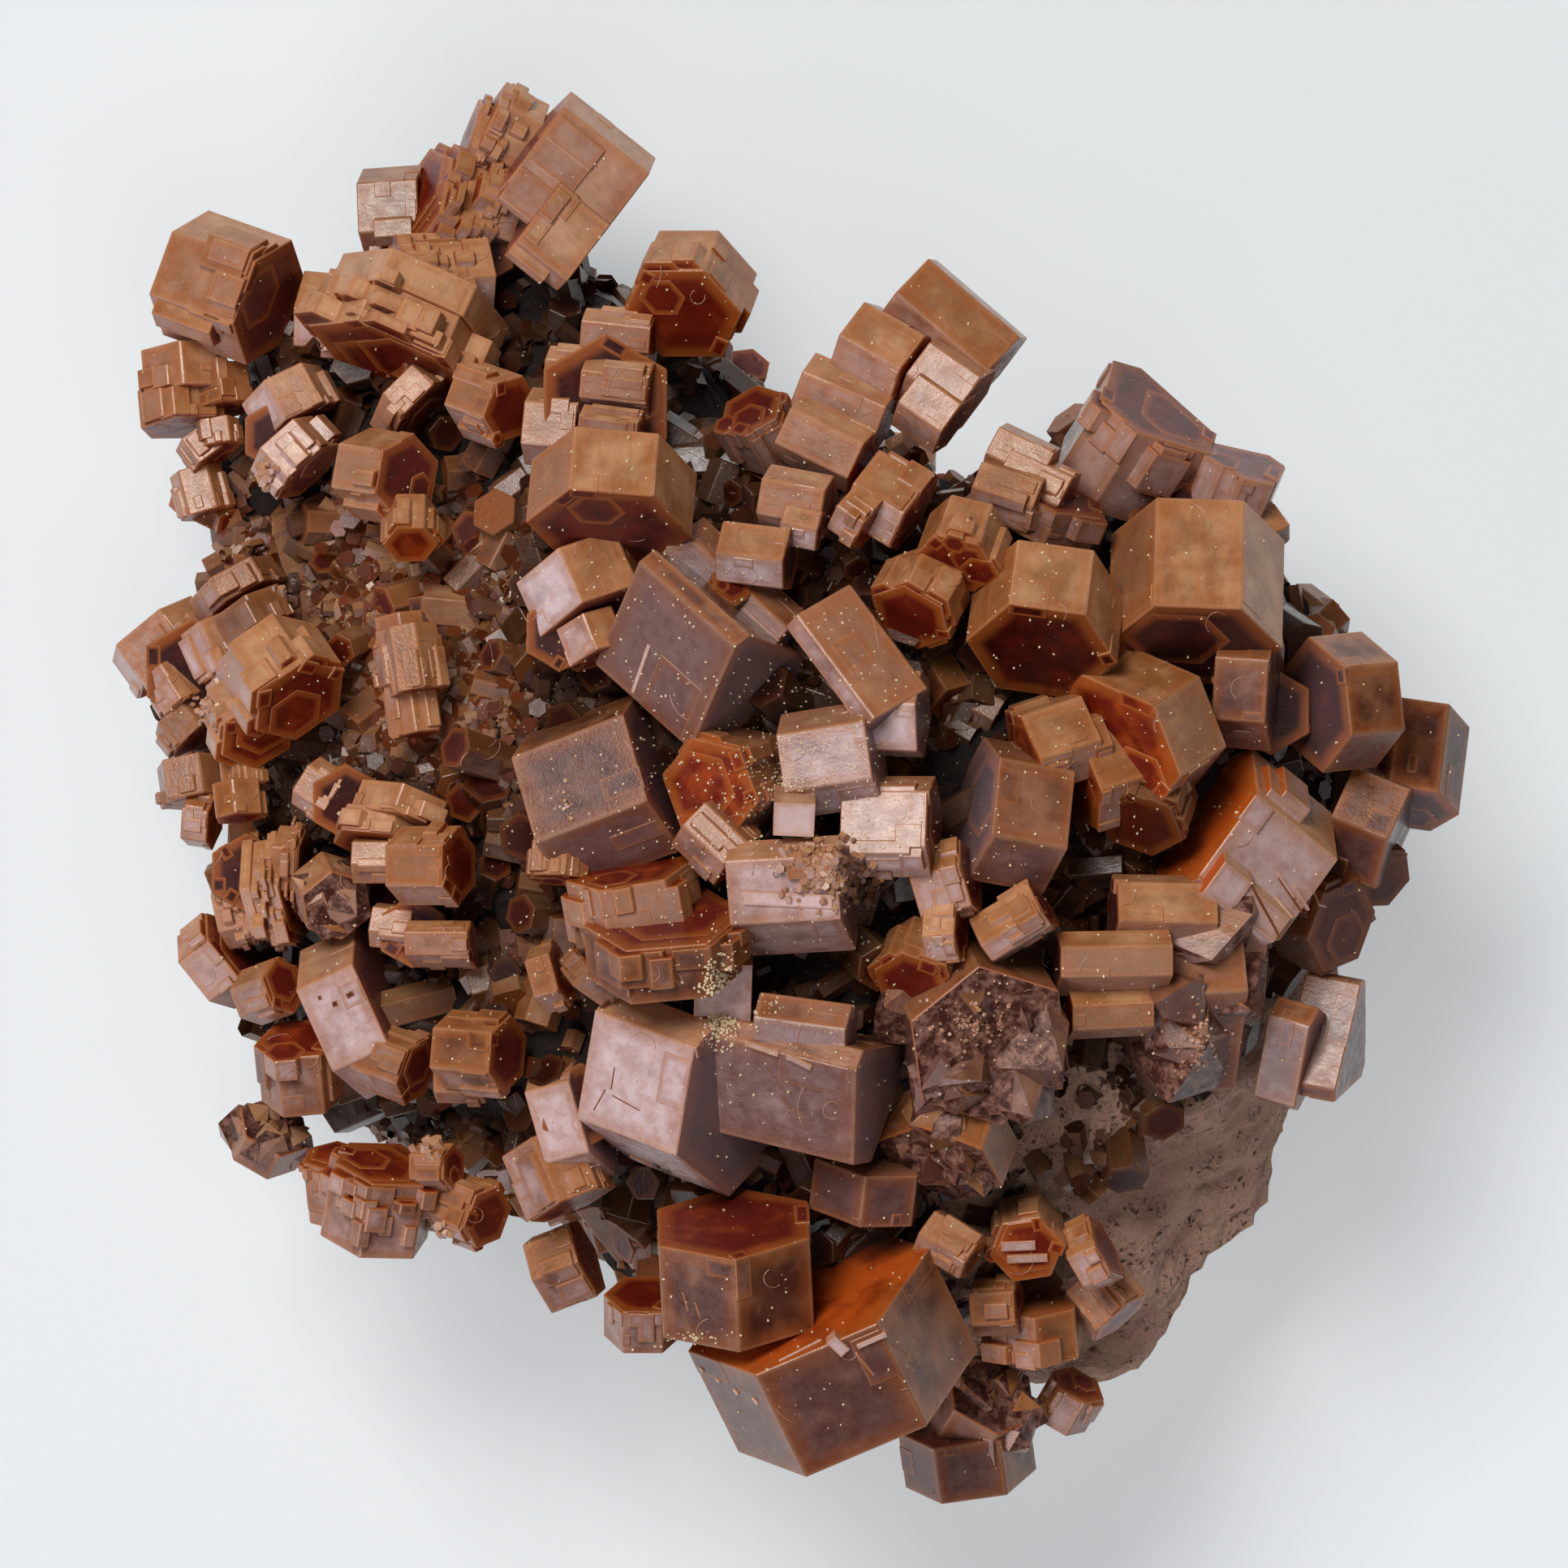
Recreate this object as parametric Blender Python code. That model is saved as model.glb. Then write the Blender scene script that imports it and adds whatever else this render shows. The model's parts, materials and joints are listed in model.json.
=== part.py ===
"""Vanadinite specimen: short hexagonal crystals grown together over a flat-cut lump of tan rock.

The plan is seen from above: +X to the right, +Y to the back, +Z up. Rows are in millimetres.
"""

import math
import random
from dataclasses import dataclass

import bmesh
import bpy
from mathutils import Matrix, Vector, noise

MM = 0.001
SPECIMEN = "vanadinite_specimen"

# The crystal field is a low dome. Every crystal's height is given above or below it.
DOME_CENTRE = (2.0, -1.0)
DOME_RADII = (34.0, 35.5)
RIM_HEIGHT = 14.0
DOME_RISE = 18.0

# Gap between neighbouring solids.
GAP = 0.3
HEXAGON_SIDES = 6
APOTHEM_RATIO = math.sqrt(3.0) / 2.0

# Cross-sections: widest face beside the seen one, least share of it that shows, and limits of the thickness.
WIDEST_WING = 1.6
LEAST_SHOWN = 0.2
THICKEST = 0.85
THINNEST = 0.12
LEAST_BACK = 0.05

# The rock: its radius every 15 degrees counter-clockwise from +X, its widest level and its cover.
ROCK_RADII = (
    28.5, 27.5, 25.0, 22.5, 16.0, 18.0, 17.5, 24.5,
    32.0, 33.5, 33.0, 29.5, 29.0, 27.5, 27.5, 26.5,
    24.0, 25.5, 29.0, 31.0, 33.5, 31.4, 29.0, 28.0,
)
ROCK_WAIST = 11.0
ROCK_UNDERSIDE = 17.0
ROCK_COVER = 5.0
ROCK_LEAST_CROWN = 2.0
ROCK_SEGMENTS = 32
ROCK_RINGS = 12
ROCK_SHOULDER = 1.7
LUMPS = ((9.0, 2.2), (4.5, 1.2))

# The bare rock shows at the front right; no small crystal grows beyond this line.
BARE_ROCK_DIRECTION = (0.72, -0.69)
BARE_ROCK_DISTANCE = 25.0

# The small crystals that cover the rock between the large ones, clear of most of each large one's plan.
DRUSE_COUNT = 126
DRUSE_SEED = 21
DRUSE_WIDTHS = (1.6, 3.4)
DRUSE_LENGTHS = (3.2, 5.0)
DRUSE_SHOWN = (0.35, 0.75)
DRUSE_LEAN = 0.45
DRUSE_ON_TOP = 0.85
DRUSE_SIDE_POLAR = (70.0, 105.0)
NORMAL_STEP = 0.02
DRUSE_CLEARANCE = 0.42


@dataclass(frozen=True)
class Lying:
    """A crystal seen from its side: one prism face, from its root corner out to its two end corners.

    The fold is the share of the width from tip to side that the next face, round the far edge, takes up.
    The wings are the faces round the near and the far edge, in widths of the face between them.
    """

    root: tuple
    tip: tuple
    side: tuple
    lift: float = 0.0
    rise: float = 0.6
    fold: float = 0.0
    wings: tuple = (0.85, 0.85)
    depth: float = 0.9

    def frame(self):
        """The matrix of the prism's seen face, the outline of its cross-section and its length."""
        along = Vector(self.tip) - Vector(self.root)
        across = (Vector(self.side) - Vector(self.tip)) * (1.0 - self.fold)
        edge = Vector((along.x, along.y, self.rise))
        width = Vector((across.x, across.y, -along.dot(across) / self.rise))
        middle = Vector(self.root) + (along + across) / 2.0
        outward = edge.cross(width).normalized()
        flipped = outward.z < 0.0
        if flipped:
            outward.negate()
        near, far = self.wings
        if self.fold > 0.0:
            beyond = width.normalized() / 2.0 - outward * APOTHEM_RATIO
            shown = max(LEAST_SHOWN, beyond.xy.dot(across.normalized()))
            far = min(WIDEST_WING, self.fold / (1.0 - self.fold) * across.length / shown / width.length)
        before, after = (near, far) if flipped else (far, near)
        face = Vector((middle.x, middle.y, dome_height(middle.x, middle.y) + self.lift))
        axis = edge.normalized()
        turn = Matrix((outward, axis.cross(outward), axis)).transposed().to_4x4()
        outline = face_outline(width.length, before * width.length, after * width.length, self.depth)
        return Matrix.Translation(face) @ turn, outline, edge.length


@dataclass(frozen=True)
class Standing:
    """A crystal seen from its end: the middle of that end and the way its axis points."""

    end: tuple
    azimuth: float
    tilt: float
    width: float
    length: float
    lift: float = 0.0
    spin: float = 0.0

    def frame(self):
        """The matrix of the prism's middle, the outline of its cross-section and its length."""
        azimuth, tilt, spin = (math.radians(a) for a in (self.azimuth, self.tilt, self.spin))
        level = Vector((-math.sin(azimuth), math.cos(azimuth), 0.0))
        axis = Vector((math.cos(azimuth) * math.sin(tilt), math.sin(azimuth) * math.sin(tilt), math.cos(tilt)))
        corner = level * math.cos(spin) + axis.cross(level) * math.sin(spin)
        end = Vector((*self.end, dome_height(*self.end) + self.lift))
        return basis(corner, axis, end - axis * self.length / 2.0), hexagon(self.width), self.length


# Large crystals, one solid for each group that has grown together.
CLUSTERS = {
    "top_large_crystal": [
        Lying((-6.7, 30.2), (-10.9, 33.5), (-13.7, 29.8), 2.0, 0.7, wings=(0.5, 0.2), depth=0.8),
        Lying((-8.6, 27.7), (-11.1, 29.7), (-13.2, 26.9), 0.8, 0.4, wings=(0.4, 0.3)),
    ],
    "top_left_column": [
        Lying((-11.9, 32.8), (-14.1, 33.9), (-15.3, 31.5), 1.2, 0.3),
        Lying((-13.3, 30.9), (-15.6, 31.7), (-16.5, 29.7), 0.2, 0.3),
        Lying((-12.8, 28.8), (-14.8, 29.5), (-15.6, 27.5), 0.0, 0.3),
        Lying((-14.2, 27.2), (-17.0, 28.4), (-18.9, 25.8), -0.3, 1.2),
        Lying((-14.2, 25.2), (-18.6, 24.9), (-18.8, 22.6), -0.2, 1.2),
        Lying((-14.6, 22.8), (-18.4, 22.2), (-18.8, 19.8), -0.2, 1.4),
        Standing((-15.8, 27.0), 0, 0, 5.4, 4.0, -1.4),
        Standing((-15.4, 29.6), 0, 0, 4.4, 4.0, -0.8),
    ],
    "upper_hexagonal_crystal": [
        Standing((-5.0, 23.2), 250, 40, 6.2, 3.4, 0.8, 25),
    ],
    "upper_middle_cluster": [
        Lying((-10.0, 22.9), (-6.6, 22.5), (-6.8, 20.0), 0.6, 0.7, fold=0.5),
        Lying((-10.0, 20.4), (-6.7, 20.0), (-6.9, 17.8), 0.9, 0.7, fold=0.4),
        Lying((-10.1, 18.2), (-7.2, 17.8), (-7.4, 15.9), 0.5, 0.7, fold=0.4),
        Lying((-12.8, 18.9), (-10.2, 18.7), (-10.4, 16.6), 0.2, 0.5),
        Lying((-11.8, 21.0), (-9.8, 20.8), (-9.9, 19.4), 0.2, 0.4),
        Standing((-13.5, 18.5), -20, 45, 3.6, 3.0, -0.4),
        Standing((-8.8, 18.7), 0, 0, 7.0, 4.0, -0.4),
    ],
    "upper_left_red_crystal": [
        Standing((-25.6, 23.9), -20, 64, 6.8, 5.0, 1.0),
    ],
    "upper_left_tan_crystal": [
        Standing((-19.4, 20.9), 246, 72, 9.2, 4.2, 0.8),
        Lying((-23.9, 25.6), (-21.0, 25.3), (-21.5, 23.4), 0.4, 0.6),
        Lying((-21.4, 25.6), (-19.5, 25.3), (-20.2, 23.4), 0.3, 0.5),
    ],
    "left_upper_lavender_crystal": [
        Lying((-26.0, 16.7), (-24.6, 15.2), (-22.9, 16.7), 1.8, 0.6),
        Lying((-27.0, 18.9), (-25.9, 16.9), (-24.7, 18.1), 1.3, 0.6),
        Standing((-25.2, 17.3), 0, 0, 3.6, 3.5, 0.4),
    ],
    "left_upper_red_crystal": [
        Standing((-18.6, 15.1), -10, 42, 4.4, 3.4, 0.6),
        Lying((-20.6, 17.8), (-19.5, 16.8), (-18.8, 18.3), 0.5, 0.4),
    ],
    "upper_centre_red_crystal": [
        Standing((-8.6, 12.5), 265, 60, 8.2, 3.6, 1.8),
    ],
    "centre_left_lavender_crystal": [
        Lying((-13.2, 9.9), (-12.0, 7.2), (-9.9, 8.9), 0.8, 0.9),
        Lying((-11.2, 7.6), (-10.5, 5.8), (-9.2, 6.6), 0.2, 0.5),
        Standing((-11.0, 7.4), 0, 0, 3.8, 3.6, -0.7),
    ],
    "centre_mauve_crystal": [
        Lying((-9.3, 5.9), (-4.6, 1.7), (-2.4, 6.7), 1.4, 2.8, wings=(0.3, 0.15), depth=0.6),
        Lying((-6.5, 10.8), (-1.3, 5.9), (0.2, 7.6), -0.8, 1.6),
    ],
    "upper_right_light_pair": [
        Lying((-1.1, 15.0), (2.0, 14.4), (1.7, 12.7), 0.9, 0.8),
        Lying((-3.0, 12.9), (0.3, 12.5), (-0.1, 10.9), 1.2, 0.8),
        Lying((-0.2, 12.8), (1.6, 12.4), (1.5, 11.4), 0.6, 0.3),
    ],
    "upper_right_tan_crystal": [
        Lying((2.7, 22.1), (5.7, 20.4), (5.0, 18.3), 0.6, 1.0),
        Lying((0.3, 18.5), (3.9, 16.7), (3.1, 15.0), 0.0, 0.9),
        Lying((0.9, 20.3), (5.0, 18.5), (4.3, 16.7), -0.2, 0.8),
    ],
    "upper_right_long_crystal": [
        Lying((5.5, 24.2), (10.0, 20.3), (8.5, 18.3), 0.4, 0.6),
        Lying((7.4, 22.5), (10.1, 20.3), (9.0, 18.9), 0.8, 0.4),
        Lying((6.0, 20.2), (8.5, 18.4), (8.0, 17.1), 0.2, 0.6),
        Lying((5.6, 18.8), (7.7, 17.3), (7.3, 16.2), 0.0, 0.5),
    ],
    "upper_right_red_hexagon": [
        Standing((8.4, 10.8), 250, 50, 4.2, 2.8, 0.3, 10),
    ],
    "upper_right_peak": [
        Lying((11.2, 16.5), (14.2, 15.1), (13.0, 12.9), 0.4, 0.8, fold=0.35),
        Lying((10.6, 17.6), (13.3, 16.3), (12.6, 15.0), 0.2, 0.6),
        Lying((9.2, 14.6), (12.2, 13.6), (11.8, 11.6), 0.2, 0.5, fold=0.35),
    ],
    "right_upper_red_crystal": [
        Standing((12.6, 6.5), 262, 50, 7.5, 4.2, 0.6),
    ],
    "right_upper_tan_crystal": [
        Standing((20.2, 6.8), 268, 60, 8.6, 6.2, 1.6),
        Lying((15.0, 13.4), (17.4, 17.2), (21.0, 16.2), -0.6, 2.0, wings=(0.6, 0.6)),
        Lying((19.0, 12.4), (20.6, 16.4), (22.6, 15.0), -0.2, 1.6, wings=(0.6, 0.6)),
        Lying((21.2, 15.0), (23.4, 12.0), (21.6, 10.4), -0.6, 0.9),
        Standing((19.6, 12.4), 0, 0, 6.0, 5.0, -1.6),
    ],
    "right_orange_crystal": [
        Lying((16.6, 7.0), (14.3, 5.5), (18.1, 3.8), 1.0, 2.6, wings=(0.2, 0.8)),
        Lying((14.6, 4.4), (11.6, 3.4), (12.6, 1.2), 0.2, 1.0),
        Lying((16.9, 3.4), (14.4, 2.6), (15.6, -0.4), 0.2, 1.0),
    ],
    "right_dark_hexagon": [
        Standing((26.2, 3.9), 186, 58, 6.8, 3.2, 1.0),
        Lying((21.0, 5.1), (22.4, 5.9), (23.2, 4.4), 0.4, 0.4),
        Lying((21.0, 3.2), (23.6, 3.0), (24.0, 1.6), 0.6, 0.4),
        Standing((24.0, 3.6), 0, 0, 4.4, 3.6, -0.8),
    ],
    "right_edge_crystal": [
        Standing((31.0, -1.2), 262, 62, 4.9, 5.0, 0.6),
        Lying((27.0, -1.6), (29.8, -2.7), (29.2, -5.2), 0.3, 0.5),
    ],
    "right_lavender_crystal": [
        Lying((27.3, -3.8), (23.3, -0.6), (20.4, -4.6), 1.5, 2.4, depth=0.9),
    ],
    "centre_top_mauve_crystal": [
        Lying((3.2, 9.8), (7.0, 4.7), (4.4, 3.2), 0.6, 1.8, wings=(0.15, 0.3)),
    ],
    "centre_white_crystal": [
        Lying((-0.4, 2.4), (3.9, 3.1), (4.3, 0.3), 1.2, 0.8),
        Lying((3.2, 4.0), (6.4, 3.9), (6.5, 1.6), 0.2, 0.6),
    ],
    "centre_light_crystal": [
        Lying((2.8, -0.4), (7.0, -0.4), (6.9, -3.1), 0.8, 0.8),
    ],
    "centre_right_mauve_crystal": [
        Lying((14.3, 0.6), (10.6, 1.3), (10.2, -2.5), 0.8, 1.2),
    ],
    "centre_bright_crystal": [
        Lying((-2.9, -3.8), (2.5, -3.5), (2.75, -6.6), 2.2, 0.9, wings=(0.5, 1.4)),
    ],
    "centre_right_small_crystal": [
        Lying((6.1, -4.6), (8.6, -4.0), (9.2, -6.0), 0.2, 0.6),
        Lying((9.0, -6.6), (11.9, -4.8), (12.9, -7.0), 0.6, 0.6, fold=0.4),
        Lying((6.8, -5.9), (8.4, -5.8), (8.3, -7.4), 0.4, 0.4),
    ],
    "lower_centre_mauve_crystal": [
        Lying((-4.5, -12.1), (3.5, -14.0), (3.4, -18.7), 1.2, 2.5, wings=(0.2, 0.5), depth=0.8),
        Lying((-1.5, -11.4), (3.0, -12.0), (2.9, -13.7), 1.8, 0.8),
    ],
    "lower_centre_lavender_crystal": [
        Lying((-9.3, -11.1), (-4.4, -12.9), (-5.3, -18.2), 1.6, 3.2, wings=(0.35, 1.1)),
        Lying((-12.8, -15.2), (-10.6, -14.6), (-9.6, -18.1), -0.4, 0.8),
        Standing((-10.0, -15.9), 0, 0, 4.4, 4.0, -1.4),
    ],
    "right_lower_blocks": [
        Lying((21.3, -4.9), (16.4, -4.8), (16.5, -8.3), 0.8, 0.8, fold=0.45),
        Lying((19.1, -7.9), (13.6, -8.0), (13.6, -11.0), 1.4, 0.8, fold=0.5),
        Lying((18.2, -10.7), (14.2, -10.9), (14.2, -12.9), 0.8, 0.7, fold=0.4),
        Lying((23.9, -7.2), (20.4, -7.2), (20.2, -8.8), 0.4, 0.5),
    ],
    "right_lower_broken_crystal": [
        Lying((22.9, -10.2), (18.4, -10.4), (17.8, -15.6), 0.6, 0.8, depth=0.6),
    ],
    "right_lower_laths": [
        Lying((23.9, -11.4), (25.9, -12.0), (25.2, -16.0), 0.4, 0.6, wings=(0.3, 0.2), depth=0.6),
        Lying((25.8, -9.4), (28.5, -9.9), (27.2, -15.1), 0.2, 0.6, wings=(0.2, 0.15), depth=0.6),
    ],
    "lower_right_broken_crystal": [
        Standing((10.2, -13.0), -60, 25, 9.2, 5.0, 1.2, 10),
    ],
    "lower_underside_crystal": [
        Lying((1.5, -18.4), (1.2, -20.9), (3.7, -21.8), -0.5, -0.8),
        Standing((7.6, -18.9), 250, 60, 7.0, 3.0, -0.5),
    ],
    "lower_right_orange_crystal": [
        Standing((12.0, -23.0), 270, 25, 3.8, 3.0, 0.0, 10),
    ],
    "bottom_right_blocks": [
        Lying((9.1, -25.2), (11.3, -25.1), (11.4, -26.7), 0.4, 0.5),
        Lying((12.3, -26.4), (12.5, -28.9), (10.3, -28.6), 0.2, -0.8),
    ],
    "bottom_large_crystal": [
        Standing((1.2, -25.4), 116, 66, 13.0, 6.2, 1.0, -7),
    ],
    "bottom_orange_crystal": [
        Standing((-2.5, -21.6), 93, 66, 8.6, 5.0, 1.6, 30),
    ],
    "bottom_edge_crystal": [
        Standing((8.9, -31.7), 98, 70, 6.6, 3.0, -0.6),
        Standing((10.4, -30.0), 60, 40, 5.2, 3.6, 0.4),
    ],
    "left_tip_crystal": [
        Lying((-33.3, 6.9), (-31.9, 5.0), (-29.7, 6.8), 0.6, 0.5),
        Lying((-30.0, 7.4), (-28.9, 5.0), (-27.9, 5.7), 0.8, 0.5),
        Lying((-28.7, 5.6), (-28.2, 4.3), (-27.2, 5.2), 0.6, 0.3),
        Lying((-31.0, 6.0), (-29.8, 4.2), (-28.6, 4.8), 0.0, 0.4),
        Standing((-29.4, 5.6), 0, 0, 5.2, 3.4, -0.4),
    ],
    "left_red_crystal": [
        Standing((-23.9, 4.1), -55, 50, 5.4, 3.8, 1.2),
        Standing((-26.0, 2.4), -60, 40, 4.2, 3.0, 0.4),
    ],
    "left_stacked_crystal": [
        Lying((-26.9, -2.8), (-25.0, -2.5), (-25.1, -5.0), 0.6, 0.5),
        Lying((-25.4, -3.1), (-24.1, -3.2), (-24.2, -5.4), 0.3, 0.3),
        Lying((-28.5, -5.4), (-26.9, -5.0), (-26.5, -6.9), 0.0, 0.4),
        Standing((-26.6, -4.4), 0, 0, 4.0, 3.0, -0.6),
    ],
    "left_pink_blocks": [
        Lying((-20.8, 0.3), (-21.3, -1.1), (-19.2, -1.3), 0.2, 0.4),
        Lying((-21.5, -0.9), (-21.8, -2.2), (-19.3, -2.4), 0.6, 0.5),
        Lying((-23.5, 1.0), (-21.9, 0.0), (-22.7, -1.3), 0.4, 0.5),
        Standing((-21.6, -0.9), 0, 0, 3.8, 3.0, -0.6),
    ],
    "left_broken_crystal": [
        Standing((-22.0, -6.1), -60, 25, 4.0, 3.0, 0.6, 10),
    ],
    "left_middle_blocks": [
        Lying((-21.3, -2.8), (-18.2, -2.8), (-18.3, -4.9), 0.5, 0.4, fold=0.45),
        Standing((-16.0, -4.0), 0, 62, 4.0, 3.2, 0.5),
    ],
    "left_lower_blocks": [
        Lying((-20.3, -6.0), (-18.3, -6.2), (-18.5, -7.4), 0.2, 0.4),
        Lying((-18.7, -7.3), (-15.6, -7.3), (-15.5, -10.1), 0.7, 0.8, fold=0.6),
        Standing((-18.3, -7.3), 0, 0, 3.6, 3.0, -0.6),
    ],
    "lower_left_lavender_crystal": [
        Lying((-24.1, -10.2), (-21.3, -8.9), (-19.5, -12.9), 1.6, 0.9),
    ],
    "lower_left_edge_crystal": [
        Lying((-30.1, -8.9), (-28.6, -7.7), (-27.0, -9.7), 0.4, 0.8),
    ],
    "lower_left_orange_crystal": [
        Standing((-24.1, -12.6), 95, 60, 4.2, 3.4, 0.4),
    ],
    "lower_left_red_crystal": [
        Standing((-13.6, -13.3), -5, 60, 4.0, 3.4, 0.2),
        Lying((-17.3, -13.8), (-14.9, -13.8), (-14.9, -15.2), 0.2, 0.5),
    ],
    "bottom_left_orange_crystal": [
        Standing((-19.6, -18.8), 80, 66, 5.6, 4.0, 0.8, 20),
        Standing((-22.3, -18.4), 95, 64, 3.2, 3.4, 0.0, 20),
    ],
    "centre_left_block": [
        Lying((-13.4, 1.3), (-7.9, 3.4), (-6.7, -0.8), 1.0, 1.6),
    ],
    "centre_left_orange_crystal": [
        Standing((-5.8, -6.6), 95, 66, 8.2, 2.9, 0.8),
        Standing((-7.6, -4.2), 100, 74, 6.6, 3.4, -0.6),
    ],
    "centre_pink_crystal": [
        Standing((-3.6, -0.2), 200, 30, 5.4, 4.0, 0.0),
        Lying((-5.0, -2.0), (-2.9, -4.0), (-3.5, -5.0), 0.6, 0.5),
    ],
}

# Smaller crystals that grow straight out of the rock and are one solid with it.
ROOTED = [
    Lying((-32.2, 19.6), (-32.0, 17.7), (-30.2, 18.3), 0.0, 0.5),
    Lying((-32.0, 21.6), (-31.8, 19.4), (-29.8, 19.9), 0.2, 0.5),
    Lying((-30.1, 20.6), (-29.8, 18.6), (-27.9, 19.1), 0.3, 0.5),
    Lying((-21.3, 29.9), (-18.3, 30.1), (-18.2, 27.6), 0.0, 0.5),
    Lying((-18.6, 28.8), (-17.2, 28.2), (-18.0, 26.7), 0.4, 0.5),
    Lying((4.7, 16.5), (7.2, 15.0), (5.9, 13.3), 0.6, 0.6),
    Lying((3.6, 14.8), (4.9, 13.9), (3.9, 12.8), 0.8, 0.4),
    Standing((6.2, -9.8), 250, 40, 4.0, 3.0, -0.8),
    Lying((7.4, -21.0), (9.7, -22.4), (8.9, -23.5), 0.4, 0.6),
    Lying((15.3, -23.8), (16.9, -25.7), (15.5, -27.0), 0.0, 0.6),
    Lying((-29.6, 9.1), (-28.9, 7.9), (-27.7, 9.1), 0.2, 0.3),
    Lying((-28.4, 8.2), (-27.6, 6.7), (-25.9, 7.9), 0.5, 0.4),
    Lying((-20.2, 8.2), (-19.3, 2.3), (-18.1, 2.6), 0.0, 0.8),
    Lying((-19.9, 6.8), (-19.6, 4.9), (-18.4, 5.1), 0.3, 0.3),
    Lying((-18.2, 8.0), (-17.7, 4.8), (-16.6, 4.8), 0.0, 0.5),
    Standing((-25.2, -16.9), 60, 50, 4.2, 2.0, -0.2),
    Lying((-28.9, 18.2), (-28.7, 16.9), (-27.5, 17.1), 0.4, 0.4),
    Lying((-30.0, 17.2), (-29.1, 16.0), (-27.9, 16.9), 0.0, 0.4),
    Lying((-30.2, 15.6), (-29.6, 13.4), (-28.2, 13.8), -0.6, 0.4),
    Lying((-31.2, 3.0), (-30.2, 1.8), (-29.0, 2.9), 0.2, 0.4),
    Lying((-30.9, 1.2), (-30.6, -0.8), (-28.8, -0.4), 0.0, 0.5),
    Lying((-28.0, 1.2), (-27.8, -0.2), (-26.6, 0.1), 0.4, 0.3),
    Lying((-27.3, 0.3), (-27.1, -1.4), (-25.8, -1.4), 0.4, 0.4),
    Lying((-29.9, -1.2), (-28.6, -1.4), (-28.7, -2.9), -0.2, 0.4),
    Lying((-28.8, -4.4), (-27.8, -3.9), (-27.4, -4.9), -0.2, 0.4),
    Lying((-12.1, -2.0), (-12.3, -4.4), (-10.7, -4.4), 0.6, 0.5),
    Lying((-10.4, -9.9), (-9.6, -8.9), (-8.2, -9.9), 0.6, 0.3),
    Lying((-12.8, -8.7), (-11.6, -8.3), (-11.1, -10.1), 0.2, 0.4),
    Lying((-10.3, -6.9), (-9.0, -6.8), (-8.9, -8.0), 0.4, 0.3),
    Lying((-14.0, -18.4), (-12.6, -21.6), (-11.1, -20.6), 0.4, 0.6),
    Lying((-12.5, -24.5), (-10.2, -23.6), (-9.2, -25.3), 0.0, 0.6),
    Lying((12.7, 11.6), (13.4, 13.3), (15.7, 13.0), 0.0, 0.6),
    Lying((13.6, -22.0), (15.0, -21.3), (15.3, -22.7), 0.2, 0.4),
    Standing((-7.0, -25.2), 90, 60, 4.0, 2.4, -0.4),
    Standing((-14.6, -21.4), -20, 50, 3.4, 3.0, 0.2),
    Standing((-16.3, -18.9), 0, 60, 2.4, 2.0, 0.2),
    Standing((-18.1, -14.2), -20, 60, 3.6, 3.0, -0.2),
    Standing((-24.7, -10.0), 20, 45, 3.0, 2.5, 0.0),
    Standing((-18.4, 11.8), 270, 45, 2.8, 2.4, 0.4),
    Standing((6.2, 8.2), 240, 50, 4.4, 3.0, -0.8),
    Standing((17.5, -2.0), 250, 50, 4.6, 3.0, -0.6),
    Standing((27.6, -7.0), -20, 50, 5.0, 3.0, -0.4),
    Standing((29.8, -4.8), -40, 50, 3.4, 2.4, -0.2),
    Standing((14.6, -29.8), 60, 60, 3.0, 2.2, 0.0),
    Standing((-1.6, 18.4), 120, 50, 3.6, 3.0, -0.6),
    Standing((-2.6, 9.8), 60, 30, 2.2, 2.0, -0.2),
]

# Finishes: what a group's name says of its colour, and the colour of the rest and of the rock.
CRYSTAL_COLOURS = {
    "red": (0.30, 0.055, 0.018),
    "orange": (0.42, 0.12, 0.025),
    "mauve": (0.27, 0.135, 0.105),
    "lavender": (0.45, 0.27, 0.23),
    "pink": (0.42, 0.20, 0.14),
    "white": (0.55, 0.36, 0.29),
    "dark": (0.13, 0.045, 0.022),
    "broken": (0.22, 0.10, 0.07),
}
PRISM_TAN = (0.36, 0.17, 0.075)
ROCK_TAN = (0.42, 0.25, 0.17)
CRYSTAL_ROUGHNESS = 0.35
ROCK_ROUGHNESS = 0.9


def dome_height(x, y):
    """Height of the crystal field above the resting plane at a place on the plan."""
    reach = ((x - DOME_CENTRE[0]) / DOME_RADII[0]) ** 2 + ((y - DOME_CENTRE[1]) / DOME_RADII[1]) ** 2
    return RIM_HEIGHT + DOME_RISE * (1.0 - min(1.0, reach))


def basis(corner, axis, centre):
    """Matrix that carries a primitive prism to a corner direction, an axis and a middle."""
    corner = (corner - axis * corner.dot(axis)).normalized()
    third = corner.cross(axis)
    rotation = Matrix((third, corner, axis)).transposed().to_4x4()
    return Matrix.Translation(centre) @ rotation


def clear_scene():
    """Remove whatever the scene holds."""
    for old in list(bpy.data.objects):
        bpy.data.objects.remove(old, do_unlink=True)


def new_collection(name):
    """A collection linked to the scene."""
    collection = bpy.data.collections.new(name)
    bpy.context.scene.collection.children.link(collection)
    return collection


def crystal_material(name, colour, roughness=CRYSTAL_ROUGHNESS):
    """A plain Principled material of one colour."""
    material = bpy.data.materials.new(name)
    material.use_nodes = True
    shader = material.node_tree.nodes["Principled BSDF"]
    shader.inputs["Base Color"].default_value = (*colour, 1.0)
    shader.inputs["Roughness"].default_value = roughness
    shader.inputs["Metallic"].default_value = 0.0
    return material


def group_material(name):
    """The material of a group of crystals, its colour from the group's name."""
    named = [colour for word, colour in CRYSTAL_COLOURS.items() if word in name]
    return crystal_material(name, named[0] if named else PRISM_TAN)


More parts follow.
